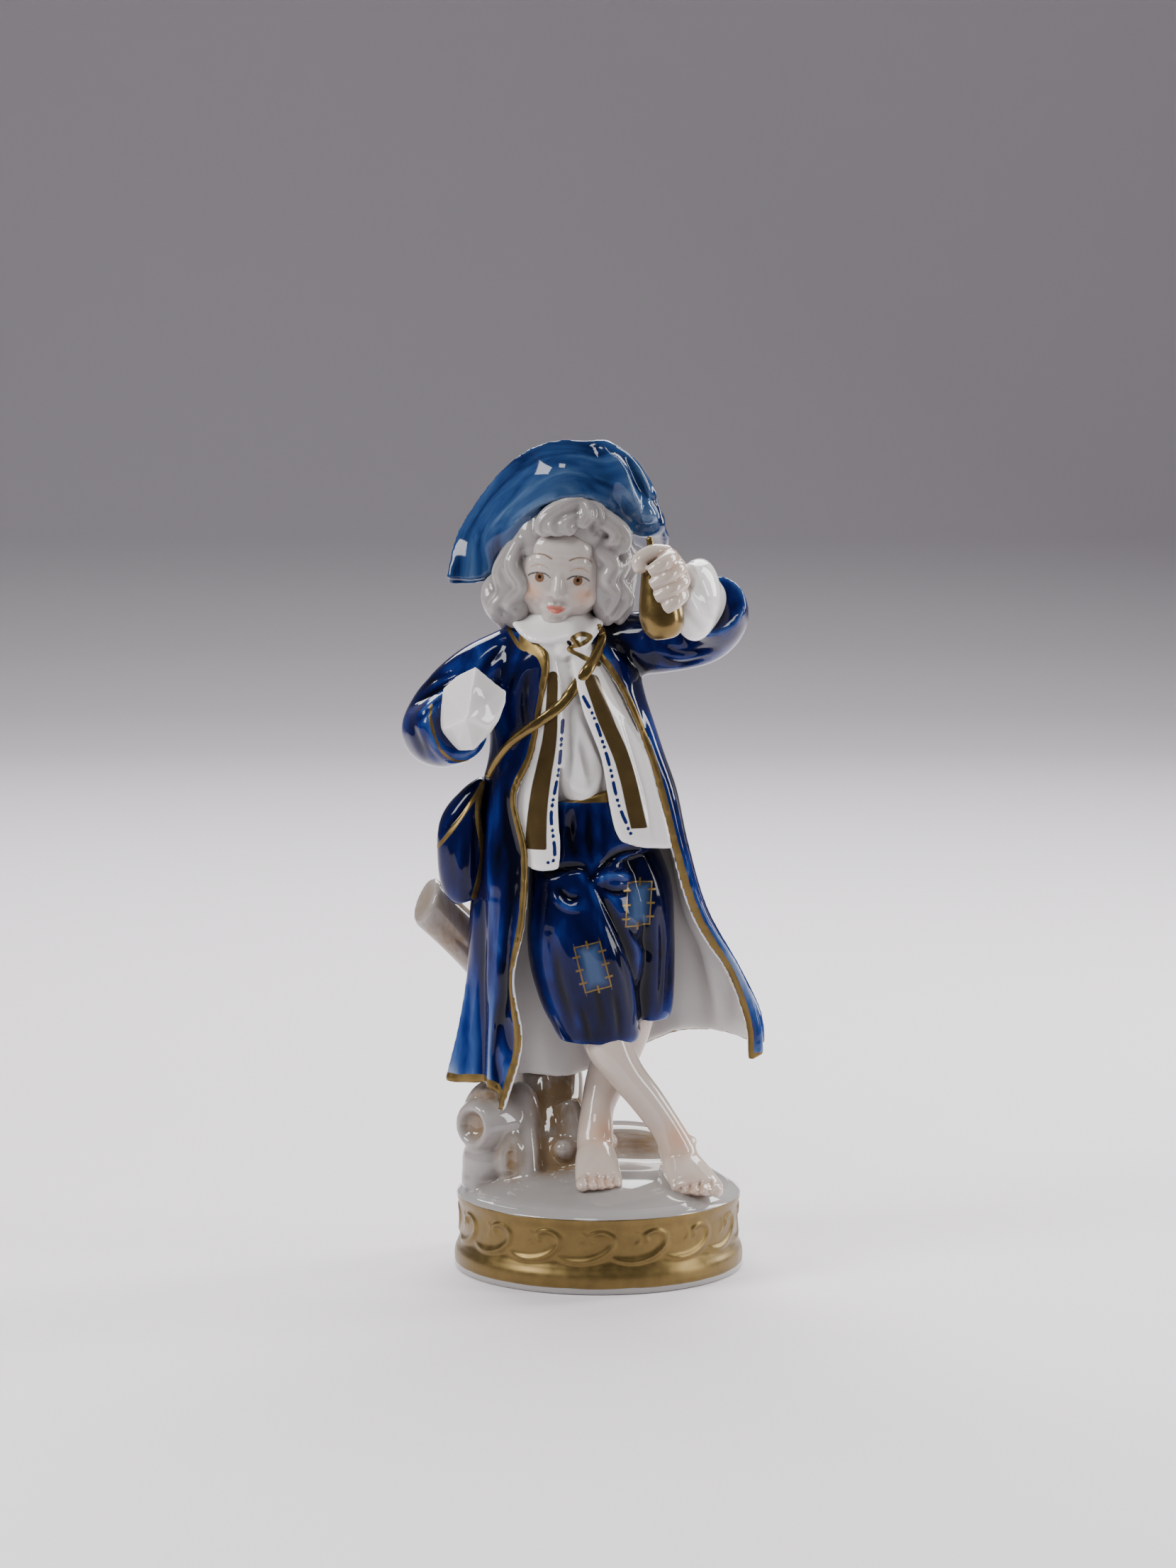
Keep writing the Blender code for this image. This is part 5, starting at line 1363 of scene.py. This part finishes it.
# Each lock's line from the crown down, and half its width: the back and sides, then the fringe.
LOCKS = [
    ([(-14, -6.8, 135), (-16.2, -6.9, 130.4), (-14.6, -7.2, 126.6), (-16.4, -6.6, 123.4),
      (-14.6, -6.4, 121)], 1.7),
    ([(-15.4, -5.4, 134.4), (-18.2, -5.2, 129.4), (-16.8, -5.6, 125.4), (-18.9, -4.8, 122.2),
      (-16.6, -4.6, 119.6)], 2),
    ([(-15, -2.6, 131), (-18.3, -2.6, 127), (-19.2, -2.8, 124.2), (-19, -2.2, 121.4),
      (-17.2, -2.4, 118.8)], 1.9),
    ([(-13.4, 1.8, 134.6), (-16.9, 2, 128.4), (-18.4, 2, 122.4), (-16.8, 2.4, 117.4)], 2.4),
    ([(-12.8, 4.8, 135), (-15.6, 5.8, 129), (-16.4, 6, 122), (-14.8, 5.4, 116.4)], 2.4),
    ([(-11.2, 7.4, 138), (-12.2, 9, 130), (-12, 8.8, 122), (-11.4, 7.8, 116)], 2.4),
    ([(-7, 8.6, 138), (-7.2, 10.4, 130), (-7.2, 10, 121.6), (-7.2, 8.4, 115.6)], 2.5),
    ([(-2.8, 7.4, 138), (-2, 9.2, 130), (-2.2, 8.8, 122), (-3, 7.8, 116)], 2.4),
    ([(0.6, 5, 138), (2.2, 6.2, 130), (2.2, 6, 122), (1, 5.6, 116.4)], 2.4),
    ([(1.8, 1.6, 139), (4.2, 2.2, 131), (4.2, 2.4, 123), (2.8, 2.6, 117)], 2.3),
    ([(3.2, -2.4, 135), (5.6, -2.4, 130.6), (4.4, -2.6, 126.8), (5.4, -2.2, 123.2),
      (3.6, -2.2, 118.8)], 1.9),
    ([(2, -5, 134.4), (5, -4.8, 131), (3.4, -5.2, 127.6), (5, -4.4, 124.2), (3, -4.4, 120)], 1.8),
    ([(0.4, -7, 133.4), (2.8, -6.8, 130.6), (1.4, -7.2, 127.6), (2.8, -6.4, 124.6), (1.2, -6.2, 121)], 1.7),
    ([(-2.4, -8.8, 142.8), (-6.6, -9.7, 141.8), (-9.9, -9.7, 139.6), (-10.5, -9.9, 137.2),
      (-8.8, -10.5, 136.1)], 1.6),
    ([(-1.8, -9, 141.8), (-5.2, -10.2, 140.3), (-8, -10.6, 138.6), (-8, -10.9, 137),
      (-6.4, -10.9, 136.4)], 1.4),
    ([(-1.2, -9, 140.8), (-4, -10.2, 139.2), (-5.8, -10.8, 138), (-5.4, -10.9, 136.9),
      (-4, -10.6, 137)], 1.3),
    ([(-2.4, -8.8, 142.2), (-2.6, -10, 140.2), (-3, -10.6, 138.6), (-2.2, -10.5, 137.4)], 1.5),
    ([(-2.2, -8.8, 142.4), (-0.4, -9.2, 140.6), (0.4, -9, 138.8), (-0.4, -9.4, 137.6)], 1.5),
    ([(-1, -8, 141), (2.2, -8, 139), (4.4, -7.2, 136.6), (4.4, -7.2, 133.8), (2.6, -7.6, 132.8)], 1.7),
    ([(0.2, -8.6, 138.8), (2.3, -8.7, 137), (2.5, -8.6, 135), (1.2, -8.2, 134.6)], 1.3),
]
forms = [orb((-6.4, -0.8, 137.2), (9.9, 7.6, 7.6)), orb((-7, 4, 126.6), (10.4, 6.4, 10))]
forms += [orb((-7.6, -2.2, 138), (8.5, 6.9, 5.8)), orb((-11.6, -3.6, 135.4), (4.4, 5.2, 6.2))]
forms += [orb((-2.4, -4.8, 137.4), (5.2, 4.9, 4.6)), orb((0.6, -4.6, 133.6), (3, 3.6, 5.4))]
forms += [orb((-15.2, -3.2, 127), (3.8, 4.6, 8.6)), orb((1.4, -3.2, 127.4), (3.4, 4.4, 8.6))]
forms += [orb((-14.2, -4, 127.4), (2.4, 3.6, 7.8)), orb((0.4, -4, 128.2), (2.3, 3.6, 8))]
grooves = []
for i, (points, width) in enumerate(LOCKS):
    form, combed = lock(points, width, 1.9 * i)
    forms.append(form)
    grooves += [(mark, 0.36, -0.2) for mark in combed]
hair = fuse("hair", forms, 0.33, 8)
press(hair, grooves)
note_swell(hair, 30)

# Thin grey stain under clear glaze, pale on the locks and darker between them: the darker grey
# between the locks is painted shade.
grey_hair, tree, shader = new_material("pale_grey_glazed_hair")
glaze(shader)
swell = add(tree, "MapRange", {"Value": kept(tree, "swell"), "From Min": -0.5, "From Max": 0.35})
tone = add(tree, "ValToRGB", {"Fac": swell}, stops=((0.0, "#5e585a"), (1.0, "#aba5a2")))
tree.links.new(tone, shader.inputs["Base Color"])
finish(hair, grey_hair)


# The hat: soft felt with a low crown and a wide brim, swept up in front and rolled over his left
# eye, here of porcelain, luted to the hair and washed with a thin steely blue.
# The brim's spokes run outwards from the crown: three places each, from his right round the front.
BRIM_SPOKES = [
    [(-17.4, -2, 131.6), (-21, -1.6, 127.6), (-27.6, -0.4, 127.2)],
    [(-16, -6.2, 136), (-20.6, -2.8, 135.6), (-24.8, 1.6, 137)],
    [(-11.6, -9.2, 140.6), (-15, -6, 143.6), (-18.4, -1.4, 145.8)],
    [(-6.2, -10.2, 142.6), (-7, -10.6, 147.6), (-9.6, -6.4, 152.2)],
    [(-1.2, -9.4, 142.4), (0.2, -9, 147.4), (0.8, -6.2, 152.4)],
    [(3, -6.6, 139.2), (6.2, -6, 143.2), (8.8, -3.6, 146.2)],
    [(5, -2.4, 135.8), (8.8, -3, 138.6), (12, -1.6, 135.8)],
    [(4.8, 4.8, 136.4), (8.4, 7.2, 135.6), (11.4, 7.8, 131.6)],
    [(0.8, 9.6, 137.4), (2.6, 13.6, 136.2), (4.6, 16, 133.4)],
    [(-6.2, 11.4, 137.6), (-6.4, 15.6, 136.6), (-6.8, 18.4, 134)],
    [(-12.8, 9.6, 136.8), (-15.2, 13.6, 135.2), (-17.8, 15.8, 132.2)],
    [(-16.8, 4.4, 133.8), (-20.8, 6.4, 131.2), (-24.6, 7.8, 128.6)],
]
BRIM_WALL = 1.5
FOLD_HEIGHT = 1.2
FOLD_WIDTH = 0.03


def brim_waves(middle, out):
    """A soft rolled fold in the brim over his left eye, and slack waves elsewhere."""
    u = np.linspace(0, 1, middle.shape[1])[None, :]
    v = np.linspace(0, 1, middle.shape[0])[:, None]
    along = u - 0.635 + 0.29 * v
    grown = np.clip((v - 0.36) / 0.14, 0, 1)
    roll = FOLD_HEIGHT * grown * (1 - 0.5 * (v - 0.5)) * np.exp(-((along / FOLD_WIDTH) ** 2))
    dip = 0.5 * FOLD_HEIGHT * grown * np.exp(-(((along - 0.05) / FOLD_WIDTH) ** 2))
    slack = 0.5 * v * np.sin(2 * np.pi * (5 * u + 0.2))
    return middle + (roll - dip)[:, :, None] * (0.45, -0.85, 0.1) + out * slack[:, :, None]


brim, brim_middle = sheet(BRIM_SPOKES + BRIM_SPOKES[:1], 420, 60, BRIM_WALL, brim_waves)
CROWN_AT = np.array((-6, 1.6, 139.6))
crown = orb(CROWN_AT, (10.6, 10.6, 9.4), (-6, 4, 0))
crown_side = orb((-13.5, -0.8, 135.7), (4.4, 5.6, 4.9))
fold_end = orb((8.6, -1.6, 138), (3.4, 2.8, 3.2))
# The seat of the crown in the brim: a roll that runs round the back just inside the brim's inner
# places, so that no gap shows.
SEAT_INSET = 0.09
seat = []
for inner, _, _ in BRIM_SPOKES[6:] + BRIM_SPOKES[:2]:
    x, y = inner[:2] + SEAT_INSET * (CROWN_AT - inner)[:2]
    seat.append((x, y, inner[2], 1.5, 1.5))
seat.append((-10.8, -7.2, 140.9, 1.3, 1.3))
hat = fuse("hat", [brim, crown, crown_side, fold_end, loft(seat, (0, 0, 1), 16, 4)], 0.4, 5)
brim_fold = [
    ([(0, 152.8), (1.8, 150.4), (3.6, 147.2), (5, 143.9), (6.6, 141.4), (8.4, 139.5), (9.6, 138.2),
      (10.4, 137.2)], 1.5, 2.6),
    ([(4.6, 150.2), (6, 147.2), (7.4, 144.4), (9.2, 142.2), (11, 140.8)], 1, -1),
]
press(hat, brim_fold, behind=4)
note_swell(hat, 40)
rim, walked = along_line(places(hat), brim_middle[-1, ::4])
note(hat, "rim", rim.clip(0, 16))
# How far round the brim a place is, as a circle, so that the brush strokes close on themselves.
round_brim = 2 * np.pi * walked / walked.max()
note(hat, "round_x", 1.3 * np.cos(round_brim))
note(hat, "round_y", 1.3 * np.sin(round_brim))

# Thin cobalt under clear glaze, brushed round the brim: steely and cloudy, darker where it pooled in
# the hollows and along the edge, where its highlights are softer than on the thick white.
felt_blue, tree, shader = new_material("thin_steel_blue_hat")
glaze(shader, sheen=0.32)
feeds = {"X": times(tree, kept(tree, "rim"), 0.4), "Y": kept(tree, "round_x"), "Z": kept(tree, "round_y")}
strokes = add(tree, "CombineXYZ", feeds)
wash = add(tree, "TexNoise", {"Vector": strokes, "Scale": 1.2, "Detail": 4, "Distortion": 0.5})
thin = add(tree, "Math", {0: kept(tree, "swell"), 1: 0.25, 2: wash}, operation="MULTIPLY_ADD")
feeds = {"Value": kept(tree, "rim"), "From Min": 0.6, "From Max": 4, "To Min": -0.14, "To Max": 0.04}
thin = add(tree, "Math", {0: thin, 1: add(tree, "MapRange", feeds)}, operation="ADD")
blues = ((0.3, "#0b1a42"), (0.5, "#203c69"), (0.64, "#314c72"), (0.85, "#566d8f"))
tone = add(tree, "ValToRGB", {"Fac": thin}, stops=blues)
tree.links.new(tone, shader.inputs["Base Color"])
finish(hat, felt_blue)
